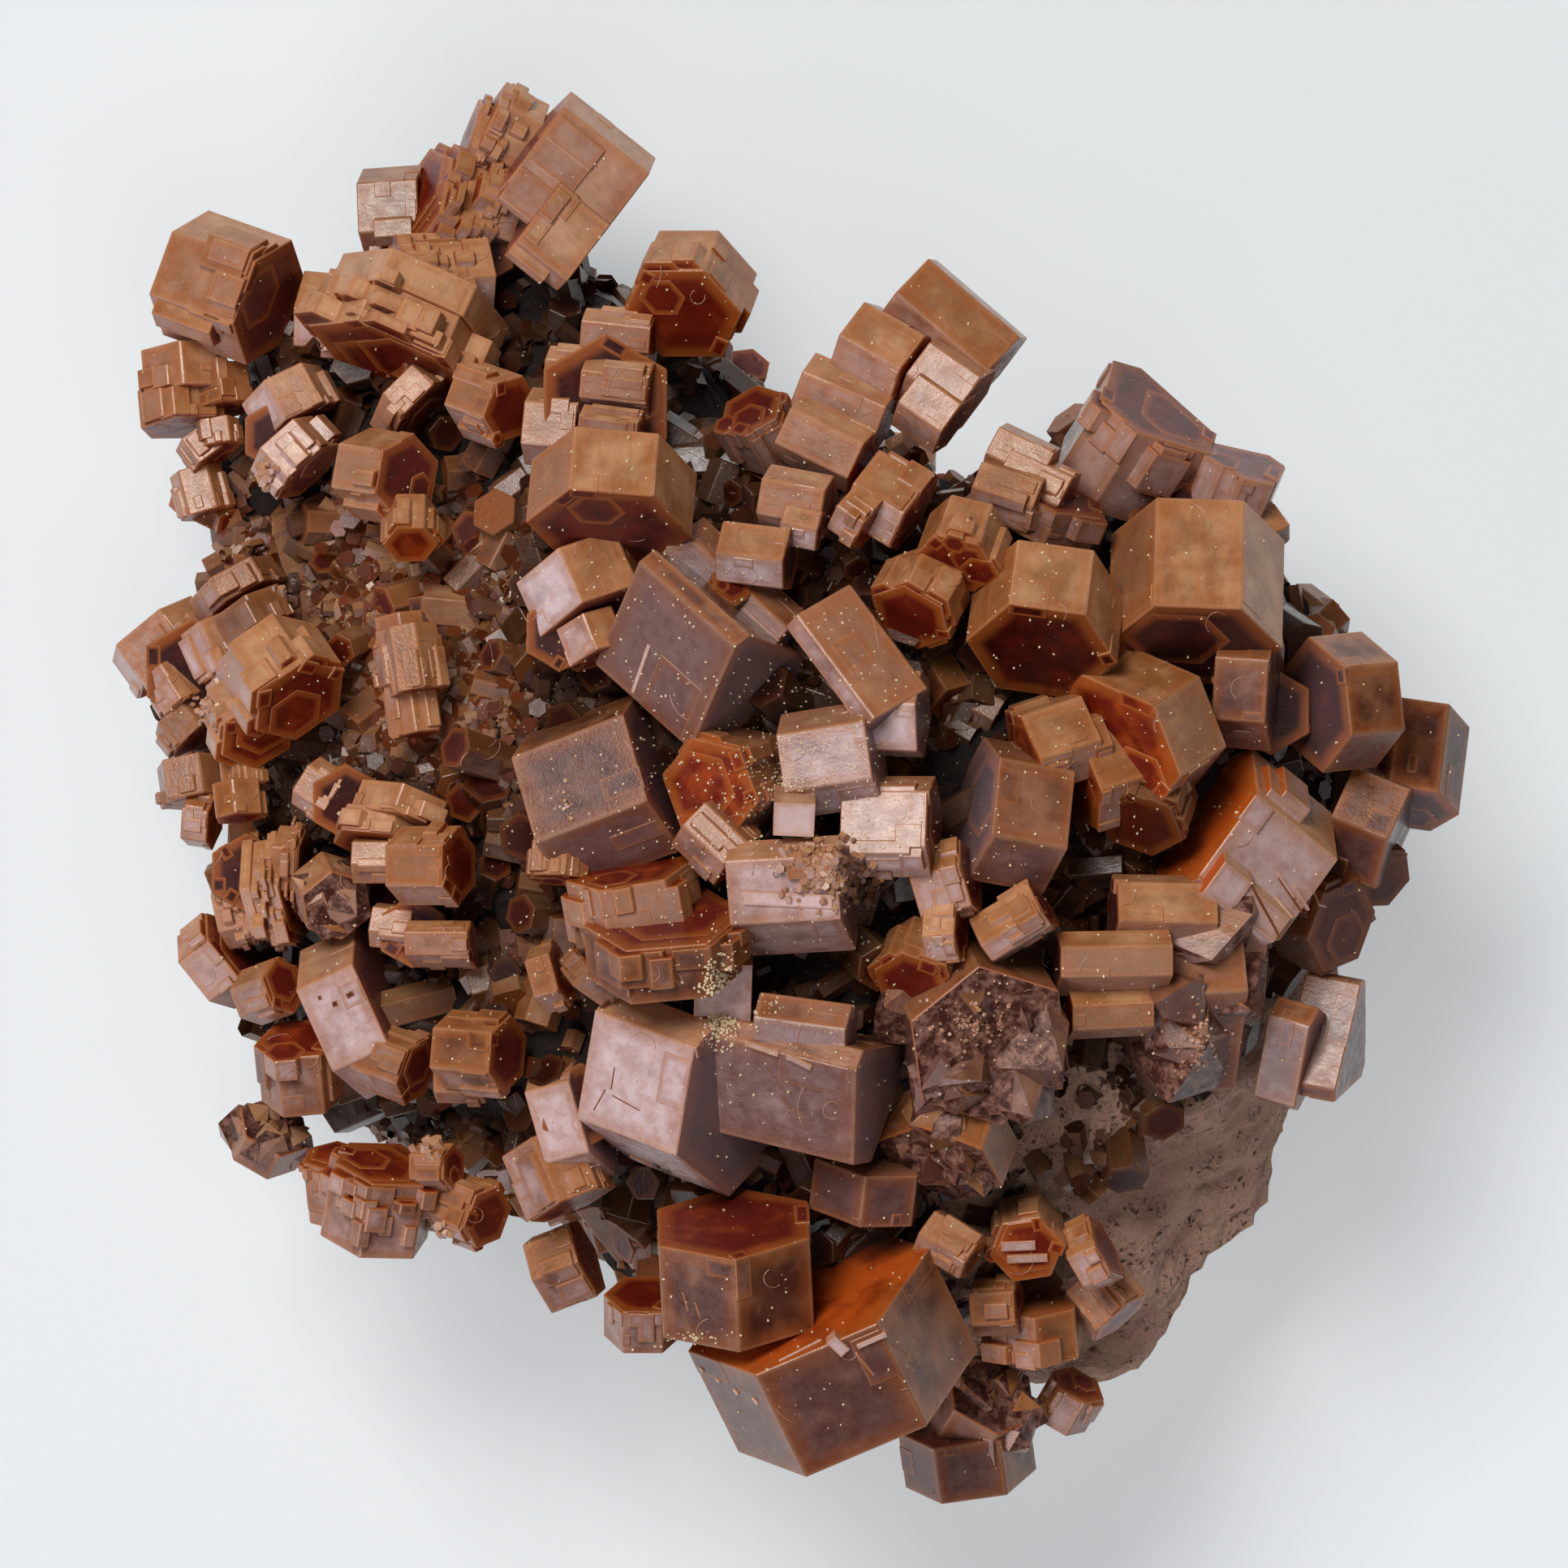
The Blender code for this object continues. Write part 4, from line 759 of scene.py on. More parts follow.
class Pen:
    """Gathers faces with their surface kind, painted rim highlight, tone and painted shade, and makes them
    one mesh.
    """

    def __init__(self) -> None:
        """Start with no faces."""
        self.points: list[np.ndarray] = []
        self.rims: list[np.ndarray] = []
        self.hearts: list[np.ndarray] = []
        self.places: list[np.ndarray] = []
        self.faces: list[list[int]] = []
        self.kinds: list[float] = []
        self.tones: list[tuple[float, float, float, float]] = []
        # Painted shade stated for each point, or NaN where it comes from the depth under the dome.
        self.depths: list[np.ndarray] = []
        self.deep: float | None = None
        self.total = 0

    def add(
        self,
        local: Sequence,
        rims: Sequence[float],
        hearts: Sequence[float],
        faces: list[list[int]],
        kinds: list[float],
        matrix: Matrix,
        tone: Tone,
        offset: Vector = Vector(),
    ) -> None:
        """Add a patch of faces.

        Args:
            local: Points in the crystal's own millimetres.
            rims: Strength of the painted edge highlight at each point, one at an edge.
            hearts: One at the middle of a face and zero at its border.
            faces: Corner numbers of each face.
            kinds: Surface kind of each face.
            matrix: Carries the patch into place.
            tone: Colouring of the crystal.
            offset: Added to the points' own place in the pattern.
        """
        flat = np.asarray(local, float)
        turn = np.array(matrix)
        self.points.append(flat @ turn[:3, :3].T + turn[:3, 3])
        self.places.append(flat + np.array(offset))
        self.rims.append(np.asarray(rims, float))
        self.hearts.append(np.asarray(hearts, float))
        self.depths.append(np.full(len(flat), np.nan if self.deep is None else self.deep))
        self.faces += [[self.total + corner for corner in face] for face in faces]
        self.kinds += kinds
        self.tones += [(tone.light, tone.mauve, tone.front_sheen, tone.glow)] * len(faces)
        self.total += len(flat)

    def column(
        self,
        outline: Sequence,
        low: float,
        high: float,
        matrix: Matrix,
        tone: Tone,
        chamfer: float = 0.06,
        rim: float = 0.22,
        kind: Part = Part.PRISM,
        offset: Vector = Vector(),
        end_kind: Part = Part.END,
    ) -> None:
        """Add an upright column with bevelled edges.

        Args:
            outline: Corners of its plan, counter-clockwise.
            low: Level of its lower end.
            high: Level of its upper end.
            matrix: Carries it into place.
            tone: Colouring of the crystal.
            chamfer: Width of the bevel.
            rim: Width of the border painted paler as a highlight.
            kind: Kind of its sides.
            offset: Added to the points' own place in the pattern.
            end_kind: Kind of its exposed end.
        """
        corners = np.asarray(outline, float)
        count = len(corners)
        after = np.roll(corners, -1, axis=0)
        span = after - corners
        lengths = np.linalg.norm(span, axis=1)
        shortest = min(lengths.min(), high - low)
        chamfer = min(chamfer, LARGEST_BEVEL * shortest)
        border = min(rim, LARGEST_RIM * shortest)
        unit = span / lengths[:, None]

        def inset(distance: float) -> np.ndarray:
            """Corners of the outline drawn in by a distance."""
            back = -np.roll(unit, 1, axis=0)
            half = (back + unit) / 2.0
            norm = np.linalg.norm(half, axis=1)
            half = half / norm[:, None]
            sine = np.abs(unit[:, 0] * half[:, 1] - unit[:, 1] * half[:, 0])
            return corners + half * (distance / sine)[:, None]

        points, rims, hearts, faces, kinds = [], [], [], [], []

        def ring(flat: Sequence, level: float, shade: float, heart: float = 0.0) -> int:
            """Add a ring of points at a level and give the number of the first."""
            start = len(points)
            points.extend([(x, y, level) for x, y in flat])
            rims.extend([shade] * len(flat))
            hearts.extend([heart] * len(flat))
            return start

        sides = np.empty((2 * count, 2))
        sides[0::2] = corners + unit * chamfer
        sides[1::2] = after - unit * chamfer
        inner = np.empty((2 * count, 2))
        inner[0::2] = corners + unit * (chamfer + border)
        inner[1::2] = after - unit * (chamfer + border)
        cap_inner = ring(inset(chamfer + border), high, 0.0)
        cap = ring(inset(chamfer), high, 1.0)
        top = ring(sides, high - chamfer, 1.0)
        top_inner = ring(inner, high - chamfer - border, 0.0)
        low_inner = ring(inner, low + chamfer + border, 0.0)
        bottom = ring(sides, low + chamfer, 1.0)
        foot = ring(inset(chamfer), low, 1.0)
        middle = corners.mean(axis=0)
        centre = ring([middle], high, 0.0, 1.0)
        hub = ring((corners + after) / 2.0, (low + high) / 2.0, 0.0, 1.0)
        faces.append([foot + k for k in reversed(range(count))])
        kinds.append(Part.END.value)
        edge_kind = (kind.value + end_kind.value) / 2.0
        for k in range(count):
            n = (k + 1) % count
            a, b = 2 * k, 2 * k + 1
            last = (2 * k - 1) % (2 * count)
            faces += [
                [cap_inner + k, cap_inner + n, centre],
                [cap + k, cap + n, cap_inner + n, cap_inner + k],
                [top + a, top + b, cap + n, cap + k],
                [top + last, top + a, cap + k],
                [bottom + last, bottom + a, top + a, top + last],
                [bottom + a, low_inner + a, top_inner + a, top + a],
                [low_inner + b, bottom + b, top + b, top_inner + b],
                [top_inner + a, top_inner + b, top + b, top + a],
                [bottom + a, bottom + b, low_inner + b, low_inner + a],
                [low_inner + a, low_inner + b, hub + k],
                [low_inner + b, top_inner + b, hub + k],
                [top_inner + b, top_inner + a, hub + k],
                [top_inner + a, low_inner + a, hub + k],
                [foot + k, foot + n, bottom + b, bottom + a],
                [foot + k, bottom + a, bottom + last],
            ]
            # Two faces of the end, two of its bevel, nine of the side and two of the lower bevel.
            kinds += [end_kind.value] * 2 + [edge_kind] * 2 + [kind.value] * 9 + [edge_kind] * 2
        self.add(points, rims, hearts, faces, kinds, matrix, tone, offset)

    def stub(
        self,
        width: float,
        length: float,
        matrix: Matrix,
        tone: Tone,
        offset: Vector = Vector(),
        kind: Part = Part.PRISM,
        end_kind: Part = Part.END,
    ) -> None:
        """Add a small plain hexagonal prism.

        Args:
            width: Corner to corner.
            length: End to end.
            matrix: Carries it into place.
            tone: Colouring of the crystal.
            offset: Added to the points' own place in the pattern.
            kind: Kind of its sides.
            end_kind: Kind of its end.
        """
        ring = hexagon(width)
        points = [(x, y, -length / 2.0) for x, y in ring] + [(x, y, length / 2.0) for x, y in ring]
        count = HEXAGON_SIDES
        faces = [[k, (k + 1) % count, count + (k + 1) % count, count + k] for k in range(count)]
        faces.append([count + k for k in range(count)])
        kinds = [kind.value] * count + [end_kind.value]
        rims = [STUB_FOOT_RIM] * count + [STUB_END_RIM] * count
        self.add(points, rims, [STUB_HEART] * (2 * count), faces, kinds, matrix, tone, offset)

    def mesh(self, name: str) -> bpy.types.Mesh:
        """Make the mesh.

        Args:
            name: The mesh's name.

        Returns:
            The mesh, in metres, with its attributes.
        """
        mesh = bpy.data.meshes.new(name)
        points = np.concatenate(self.points) * MM
        mesh.from_pydata(points.tolist(), [], self.faces)
        # Painted shade: points deep under the dome are painted dark, fading toward the edge, unless a
        # painted shade was stated for them.
        reach = ((points[:, 0] / MM - DOME_CENTRE[0]) / DOME_RADII[0]) ** 2
        reach += ((points[:, 1] / MM - DOME_CENTRE[1]) / DOME_RADII[1]) ** 2
        level = RIM_HEIGHT + DOME_RISE * (1.0 - np.minimum(1.0, reach)) - points[:, 2] / MM
        inward = np.clip((BURIED_EDGE - reach) * BURIED_FADE, BURIED_LEAST, 1.0)
        painted_shade_share = np.clip((level - BURIED_FROM) / BURIED_OVER, 0.0, 1.0) * inward
        stated = np.concatenate(self.depths)
        painted_shade_share = np.where(np.isnan(stated), painted_shade_share, stated)
        shades = {"rim": np.concatenate(self.rims), "heart": np.concatenate(self.hearts), "painted_shade_share": painted_shade_share}
        for label, values in shades.items():
            layer = mesh.attributes.new(label, "FLOAT", "POINT")
            layer.data.foreach_set("value", values.astype(np.float32))
        layer = mesh.attributes.new("place", "FLOAT_VECTOR", "POINT")
        layer.data.foreach_set("vector", np.concatenate(self.places).astype(np.float32).ravel())
        layer = mesh.attributes.new("kind", "FLOAT", "FACE")
        layer.data.foreach_set("value", np.array(self.kinds, np.float32))
        layer = mesh.attributes.new("tone", "FLOAT_COLOR", "FACE")
        layer.data.foreach_set("color", np.array(self.tones, np.float32).ravel())
        # Face directions, by which the shader paints the sheen and light that depend on how a face leans.
        layer = mesh.attributes.new("facing", "FLOAT_VECTOR", "FACE")
        normals = np.empty(len(mesh.polygons) * 3, np.float32)
        mesh.polygons.foreach_get("normal", normals)
        layer.data.foreach_set("vector", normals)
        mesh.update()
        return mesh


@dataclass
class CrystalGrower:
    """Draws crystals with their layers and plates.

    Attributes:
        pen: Where the faces go.
        chance: The seeded source of every irregularity.
    """

    pen: Pen
    chance: random.Random

    def grow(self, pose: Pose, habit: Habit, tone: Tone) -> None:
        """Draw one crystal.

        Args:
            pose: Its place and size.
            habit: How stepped its faces are.
            tone: Its colouring.
        """
        chance = self.chance
        own = tone.varied(chance, 0.08)
        offset = Vector([chance.uniform(-PATTERN_SPREAD, PATTERN_SPREAD) for _ in range(3)])
        if habit.rough:
            self.shatter(pose, own, offset)
            return
        width, length = pose.width(), pose.length
        cuts = sorted(chance.uniform(0.15, 0.9) for _ in range(habit.slabs - 1))
        levels = [-0.5] + [c - 0.5 for c in cuts] + [0.5]
        for low, high in zip(levels, levels[1:]):
            shrink = 1.0 - chance.uniform(0.0, habit.slip)
            slide = width * habit.slip / 2.0
            shift = (chance.uniform(-slide, slide), chance.uniform(-slide, slide))
            outline = pose.scaled(shrink, shift)
            top = high * length + LAYER_OVERLAP
            self.pen.column(outline, low * length, top, pose.matrix, own, offset=offset)
        for side in range(HEXAGON_SIDES):
            self.side_plates(pose, habit, own, side, offset)
        self.twin_prisms(pose, habit, own, offset)
        self.end_plates(pose, habit, own, offset)

    def twin_prisms(self, pose: Pose, habit: Habit, tone: Tone, offset: Vector) -> None:
        """Draw the smaller parallel prisms that make a crystal's sides stepped.

        Args:
            pose: The crystal's place and size.
            habit: How stepped it is.
            tone: Its colouring.
            offset: The crystal's place in the pattern.
        """
        chance = self.chance
        middle = Vector(pose.middle())
        width, length = pose.width(), pose.length
        upright = pose.matrix.to_3x3()
        for _ in range(habit.twins):
            side = chance.randrange(HEXAGON_SIDES)
            corner = Vector(pose.outline[side]).lerp(Vector(pose.outline[side - 1]), chance.random())
            away = (corner - middle).normalized()
            if (upright @ away.to_3d()).z < -0.3:
                continue
            share = chance.uniform(*habit.twin_shares)
            step = width * habit.twin_step * chance.uniform(0.2, 1.0)
            shift = corner + away * (step - width * share * 0.4) - middle
            tall = length * chance.uniform(*habit.twin_heights)
            top = length / 2.0 - length * chance.uniform(-0.04, habit.twin_drop) * chance.random()
            self.pen.column(
                pose.scaled(share, tuple(shift)), top - tall, top, pose.matrix, tone.varied(chance, 0.12),
                chamfer=0.04, rim=0.12, offset=offset + Vector((step, 0.0, top)),
            )

    def side_plates(self, pose: Pose, habit: Habit, tone: Tone, side: int, offset: Vector) -> None:
        """Draw the raised plates of one prism face that can be seen.

        Args:
            pose: The crystal's place and size.
            habit: How stepped its faces are.
            tone: Its colouring.
            side: Which of the six faces.
            offset: The crystal's place in the pattern.
        """
        start = Vector(pose.outline[side])
        run = Vector(pose.outline[(side + 1) % HEXAGON_SIDES]) - start
        face = run.length
        along = run.normalized()
        outward = Vector((along.y, -along.x))
        if (pose.matrix.to_3x3() @ outward.to_3d()).z < -0.25:
            return
        chance = self.chance
        for _ in range(round(habit.plates * min(1.0, face / 2.0))):
            wide = face * chance.uniform(0.15, 0.55)
            long = pose.length * chance.uniform(0.12, 0.45)
            low = chance.choice((0.0, face - wide, chance.uniform(0.0, face - wide)))
            reach = pose.length / 2.0 + chance.uniform(-0.05, 0.03) * pose.length
            if chance.random() < 0.25:
                reach -= chance.uniform(0.1, 0.8) * (pose.length - long)
            rise = habit.plate_rise * chance.uniform(0.25, 1.0)
            near, far = start + along * low, start + along * (low + wide)
            raised, sunk = outward * rise, outward * PLATE_ROOT
            outline = [tuple(corner) for corner in (near + raised, far + raised, far - sunk, near - sunk)]
            self.pen.column(
                outline, reach - long, reach, pose.matrix, tone.varied(chance, 0.06),
                chamfer=0.035, rim=0.1, offset=offset + Vector((rise, 0.0, 0.0)),
            )

    def end_plates(self, pose: Pose, habit: Habit, tone: Tone, offset: Vector) -> None:
        """Draw the raised hexagonal plates of the exposed end.

        Args:
            pose: The crystal's place and size.
            habit: How stepped its faces are.
            tone: Its colouring.
            offset: The crystal's place in the pattern.
        """
        chance = self.chance
        for _ in range(habit.end_plates):
            share = chance.uniform(0.35, 0.85)
            room = pose.width() * (1.0 - share) / 2.0
            turn = chance.uniform(0.0, 2.0 * math.pi)
            shift = (math.cos(turn) * room * 0.7, math.sin(turn) * room * 0.7)
            top = pose.length / 2.0 + chance.uniform(0.03, 0.6) * habit.plate_rise
            self.pen.column(
                pose.scaled(share, shift), top - END_PLATE_ROOT, top, pose.matrix, tone,
                chamfer=0.03, rim=0.14, offset=offset,
            )

    def shatter(self, pose: Pose, tone: Tone, offset: Vector) -> None:
        """Draw a crystal whose outside is broken into facets.

        Args:
            pose: The crystal's place and size.
            tone: Its colouring.
            offset: Its place in the pattern.
        """
        chance = self.chance
        width, length = pose.width(), pose.length
        middle = Vector(pose.middle())
        self.pen.column(
            pose.scaled(0.94), -length / 2.0, length * 0.42, pose.matrix, tone, offset=offset,
            end_kind=Part.BROKEN,
        )
        for _ in range(SHARDS):
            size = width * chance.uniform(0.13, 0.3)
            side = chance.randrange(HEXAGON_SIDES)
            corner = Vector(pose.outline[side]).lerp(Vector(pose.outline[side - 1]), chance.random())
            inward = corner.lerp(middle, chance.uniform(0.2, 0.95))
            spot = Vector((inward.x, inward.y, length * chance.uniform(-0.15, 0.45) - size * 0.3))
            work = bmesh.new()
            for _ in range(SHARD_POINTS):
                away = Vector([chance.gauss(0.0, 1.0) for _ in range(3)]).normalized()
                work.verts.new(away * size * chance.uniform(0.75, 1.2) + spot)
            hull = bmesh.ops.convex_hull(work, input=work.verts[:])
            inner = list(set(hull["geom_interior"] + hull["geom_unused"]))
            bmesh.ops.delete(work, geom=inner, context="VERTS")
            work.verts.index_update()
            points = [tuple(v.co) for v in work.verts]
            faces = [[v.index for v in f.verts] for f in work.faces]
            work.free()
            kinds = [chance.choice((Part.BROKEN, Part.PRISM)).value for _ in faces]
            shade = tone.varied(chance, 0.15)
            rims, hearts = [SHARD_RIM] * len(points), [SHARD_HEART] * len(points)
            self.pen.add(points, rims, hearts, faces, kinds, pose.matrix, shade, offset)


def rock_radius(angle: float) -> float:
    """Outer radius of the rock in a direction on the plan.

    Args:
        angle: Direction from +X, in radians.

    Returns:
        The radius, smoothed between the stated ones.
    """
    step = 2.0 * math.pi / len(ROCK_RADII)
    place = (angle % (2.0 * math.pi)) / step
    before = int(place) % len(ROCK_RADII)
    after = (before + 1) % len(ROCK_RADII)
    blend = place - int(place)
    ease = blend * blend * (3.0 - 2.0 * blend)
    return ROCK_RADII[before] * (1.0 - ease) + ROCK_RADII[after] * ease


def rock_point(unit: Vector) -> Vector:
    """Where a direction meets the rock's surface.

    Args:
        unit: A direction of the unit sphere.

    Returns:
        The place, in millimetres.
    """
    angle = math.atan2(unit.y, unit.x)
    radius = rock_radius(angle) * math.hypot(unit.x, unit.y)
    x, y = radius * math.cos(angle), radius * math.sin(angle)
    if unit.z >= 0.0:
        crown = max(dome_height(x, y) - ROCK_COVER, ROCK_WAIST + ROCK_LEAST_CROWN)
        height = ROCK_WAIST + (crown - ROCK_WAIST) * min(1.0, unit.z * ROCK_SHOULDER)
    else:
        height = ROCK_WAIST + unit.z * ROCK_UNDERSIDE
    point = Vector((x, y, height))
    lump = sum(noise.noise(point / size) * swell for size, swell in LUMPS)
    return point + unit.normalized() * lump


def rock_normal(unit: Vector) -> Vector:
    """The rock's outward direction where a direction meets it.

    Args:
        unit: A direction of the unit sphere.

    Returns:
        A unit vector.
    """
    here = rock_point(unit)
    around = unit.cross(Vector((1.0, 0.0, 0.0))).normalized()
    first = rock_point((unit + around * 0.02).normalized()) - here
    second = rock_point((unit + unit.cross(around) * 0.02).normalized()) - here
    return first.cross(second).normalized()


def crystal_faces() -> BVHTree:
    """Gather every face drawn so far.

    Returns:
        The faces, in millimetres.
    """
    points, faces = [], []
    for piece in bpy.context.scene.objects:
        if piece.type != "MESH" or not piece.name.endswith(("_look", "small_crystals", "fine_crust")):
            continue
        start = len(points)
        points += [tuple(v.co / MM) for v in piece.data.vertices]
        faces += [[start + v for v in face.vertices] for face in piece.data.polygons]
    return BVHTree.FromPolygons(points, faces)


@dataclass(frozen=True)
class Shelter:
    """How far the large crystals shut in a place between them, which sets the painted shade there.

    Attributes:
        around: The large crystals.
    """

    around: BVHTree

    def at(self, place: Vector) -> float:
        """Share of the sky that is hidden from a place.

        Args:
            place: The place, in millimetres.

        Returns:
            Zero in the open and one where hardly any light comes in.
        """
        start = place + Vector((0.0, 0.0, SHELTER_START))
        rays = [Vector((0.0, 0.0, 1.0))]
        for k in range(SHELTER_RAYS):
            turn = math.tau * k / SHELTER_RAYS
            rays.append(Vector((math.cos(turn), math.sin(turn), 1.0)).normalized())
        hidden = sum(self.around.ray_cast(start, ray, SHELTER_REACH)[0] is not None for ray in rays)
        return min(1.0, hidden / (SHELTER_RAYS * SHELTER_FULL))


@dataclass(frozen=True)
class Druse:
    """A crust of small crystals over the rock.

    Attributes:
        count: How many crystals are tried.
        widths: Least and greatest width.
        top_share: Share of them that stand on the top rather than the sides.
        tone: Their colouring.
        region: Plan ellipse they keep to, as middle and radii, or None for everywhere.
        bevelled_from: Width from which they are drawn with bevelled edges.
        upright: How strongly they stand out from the rock.
    """

    count: int
    widths: tuple[float, float]
    top_share: float
    tone: Tone
    region: tuple[float, float, float, float] | None = None
    bevelled_from: float = 9.0
    upright: float = 0.5

    def sow(self, grower: CrystalGrower, shelter: Shelter) -> None:
        """Draw the crust.

        Args:
            grower: Draws the crystals.
            shelter: Tells how shut in each of them is.
        """
        chance = grower.chance
        for _ in range(self.count):
            if self.region is not None:
                middle_x, middle_y, half_width, half_depth = self.region
                x = middle_x + half_width * chance.uniform(-1.0, 1.0)
                y = middle_y + half_depth * chance.uniform(-1.0, 1.0)
                if ((x - middle_x) / half_width) ** 2 + ((y - middle_y) / half_depth) ** 2 > 1.0:
                    continue
                reach = min(0.99, math.hypot(x, y) / rock_radius(math.atan2(y, x)))
                angle, polar = math.atan2(y, x), math.asin(reach)
            elif chance.random() < self.top_share:
                angle, polar = chance.uniform(0.0, 2.0 * math.pi), math.asin(math.sqrt(chance.random()))
            else:
                angle, polar = chance.uniform(0.0, 2.0 * math.pi), math.radians(chance.uniform(70.0, 106.0))
            level = math.sin(polar)
            unit = Vector((level * math.cos(angle), level * math.sin(angle), math.cos(polar)))
            root = rock_point(unit)
            along = root.x * BARE_ROCK_DIRECTION[0] + root.y * BARE_ROCK_DIRECTION[1]
            if along > BARE_ROCK_DISTANCE:
                continue
            lean = Vector([chance.gauss(0.0, 1.0) for _ in range(3)])
            axis = (rock_normal(unit) * self.upright + lean).normalized()
            width = chance.uniform(*self.widths)
            length = width * chance.uniform(0.8, 1.8)
            corner = Vector([chance.gauss(0.0, 1.0) for _ in range(3)])
            stand = (-0.1, 0.35) if polar < SIDE_POLAR else (-0.45, 0.0)
            matrix = basis(corner, axis, root + axis * length * chance.uniform(*stand))
            # Painted shade: the more the large crystals shut this one in, the darker it is painted.
            grower.pen.deep = shelter.at(root)
            tone = self.tone.varied(chance, 0.3)
            if width > self.bevelled_from:
                half = length / 2.0
                grower.pen.column(hexagon(width), -half, half, matrix, tone, 0.04, 0.14, offset=root)
            else:
                grower.pen.stub(width, length, matrix, tone, root)


@dataclass
class Group:
    """Crystals grown together as one piece.

    Attributes:
        name: The solid's name in the frame.
        crystals: Its crystals.
        habit: How stepped their faces are.
        tone: Their colouring.
    """

    name: str
    crystals: list
    habit: Habit
    tone: Tone

    def build(self, material: bpy.types.Material) -> bpy.types.Object:
        """Make the piece.

        Args:
            material: The crystal material.

        Returns:
            The piece.
        """
        pen = Pen()
        grower = CrystalGrower(pen, random.Random(self.name))
        for number, crystal in enumerate(self.crystals):
            habit, tone = SPECIAL.get((self.name, number), (self.habit, self.tone))
            if isinstance(crystal, Standing) and crystal.tilt == 0:
                habit, tone = STEM
            grower.grow(crystal.pose(), habit, tone)
        piece = bpy.data.objects.new(self.name + "_look", pen.mesh(self.name))
        bpy.context.scene.collection.objects.link(piece)
        piece.data.materials.append(material)
        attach(piece, "root")
        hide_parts(self.name)
        log.info("%s: %d crystals, %d faces", self.name, len(self.crystals), len(pen.faces))
        return piece


class Nodes:
    """Short way to write a shader tree."""

    def __init__(self, material: bpy.types.Material) -> None:
        """Start from a material's empty tree.

        Args:
            material: The material to write in.
        """
        material.use_nodes = True
        self.tree = material.node_tree
        self.tree.nodes.clear()
        self.output = self.tree.nodes.new("ShaderNodeOutputMaterial")

    def put(self, kind: str, inputs: dict | None = None, **settings: object) -> bpy.types.Node:
        """Add a node.

        Args:
            kind: The node's type.
            inputs: Values or sockets for its inputs, by name or number.
            settings: Its properties.

        Returns:
            The node.
        """
        node = self.tree.nodes.new(kind)
        for name, value in settings.items():
            setattr(node, name, value)
        for name, value in (inputs or {}).items():
            socket = node.inputs[name]
            if isinstance(value, Socket):
                self.tree.links.new(value, socket)
            else:
                socket.default_value = value
        return node

    def attribute(self, name: str, output: str = "Fac") -> Socket:
        """An attribute's socket.

        Args:
            name: The attribute.
            output: Which of the node's outputs.

        Returns:
            The socket.
        """
        return self.put("ShaderNodeAttribute", attribute_name=name).outputs[output]

    def mix(self, factor: Number, first: Colour, second: Colour) -> Socket:
        """Blend two colours.

        Args:
            factor: Share of the second.
            first: First colour or socket.
            second: Second colour or socket.

        Returns:
            The colour socket.
        """
        node = self.put("ShaderNodeMix", data_type="RGBA", clamp_factor=True)
        for socket, value in ((node.inputs[0], factor), (node.inputs[6], first), (node.inputs[7], second)):
            if isinstance(value, Socket):
                self.tree.links.new(value, socket)
            elif isinstance(value, tuple):
                socket.default_value = (*value, 1.0)
            else:
                socket.default_value = value
        return node.outputs[2]

    def math(self, operation: str, first: Number, second: Number, clamp: bool = False) -> Socket:
        """Combine two numbers.

        Args:
            operation: The operation's name.
            first: First number or socket.
            second: Second number or socket.
            clamp: Whether the result stays from zero to one.

        Returns:
            The socket.
        """
        node = self.put("ShaderNodeMath", {0: first, 1: second}, operation=operation, use_clamp=clamp)
        return node.outputs[0]

    def noise(self, vector: Socket, scale: float, detail: float = 3.0, roughness: float = 0.5) -> Socket:
        """Noise of a size.

        Args:
            vector: Pattern place.
            scale: Cells to the unit.
            detail: Octaves.
            roughness: Weight of the fine ones.

        Returns:
            The value socket.
        """
        inputs = {"Vector": vector, "Scale": scale, "Detail": detail, "Roughness": roughness}
        return self.put("ShaderNodeTexNoise", inputs).outputs["Fac"]

    def range(
        self, value: Socket, low: float, high: float, to_low: float = 0.0, to_high: float = 1.0
    ) -> Socket:
        """Map a range of values onto another.

        Args:
            value: The socket.
            low: Start of the range.
            high: Its end.
            to_low: What the start becomes.
            to_high: What the end becomes.

        Returns:
            The socket.
        """
        inputs = {0: value, 1: low, 2: high, 3: to_low, 4: to_high}
        return self.put("ShaderNodeMapRange", inputs, interpolation_type="SMOOTHSTEP").outputs[0]


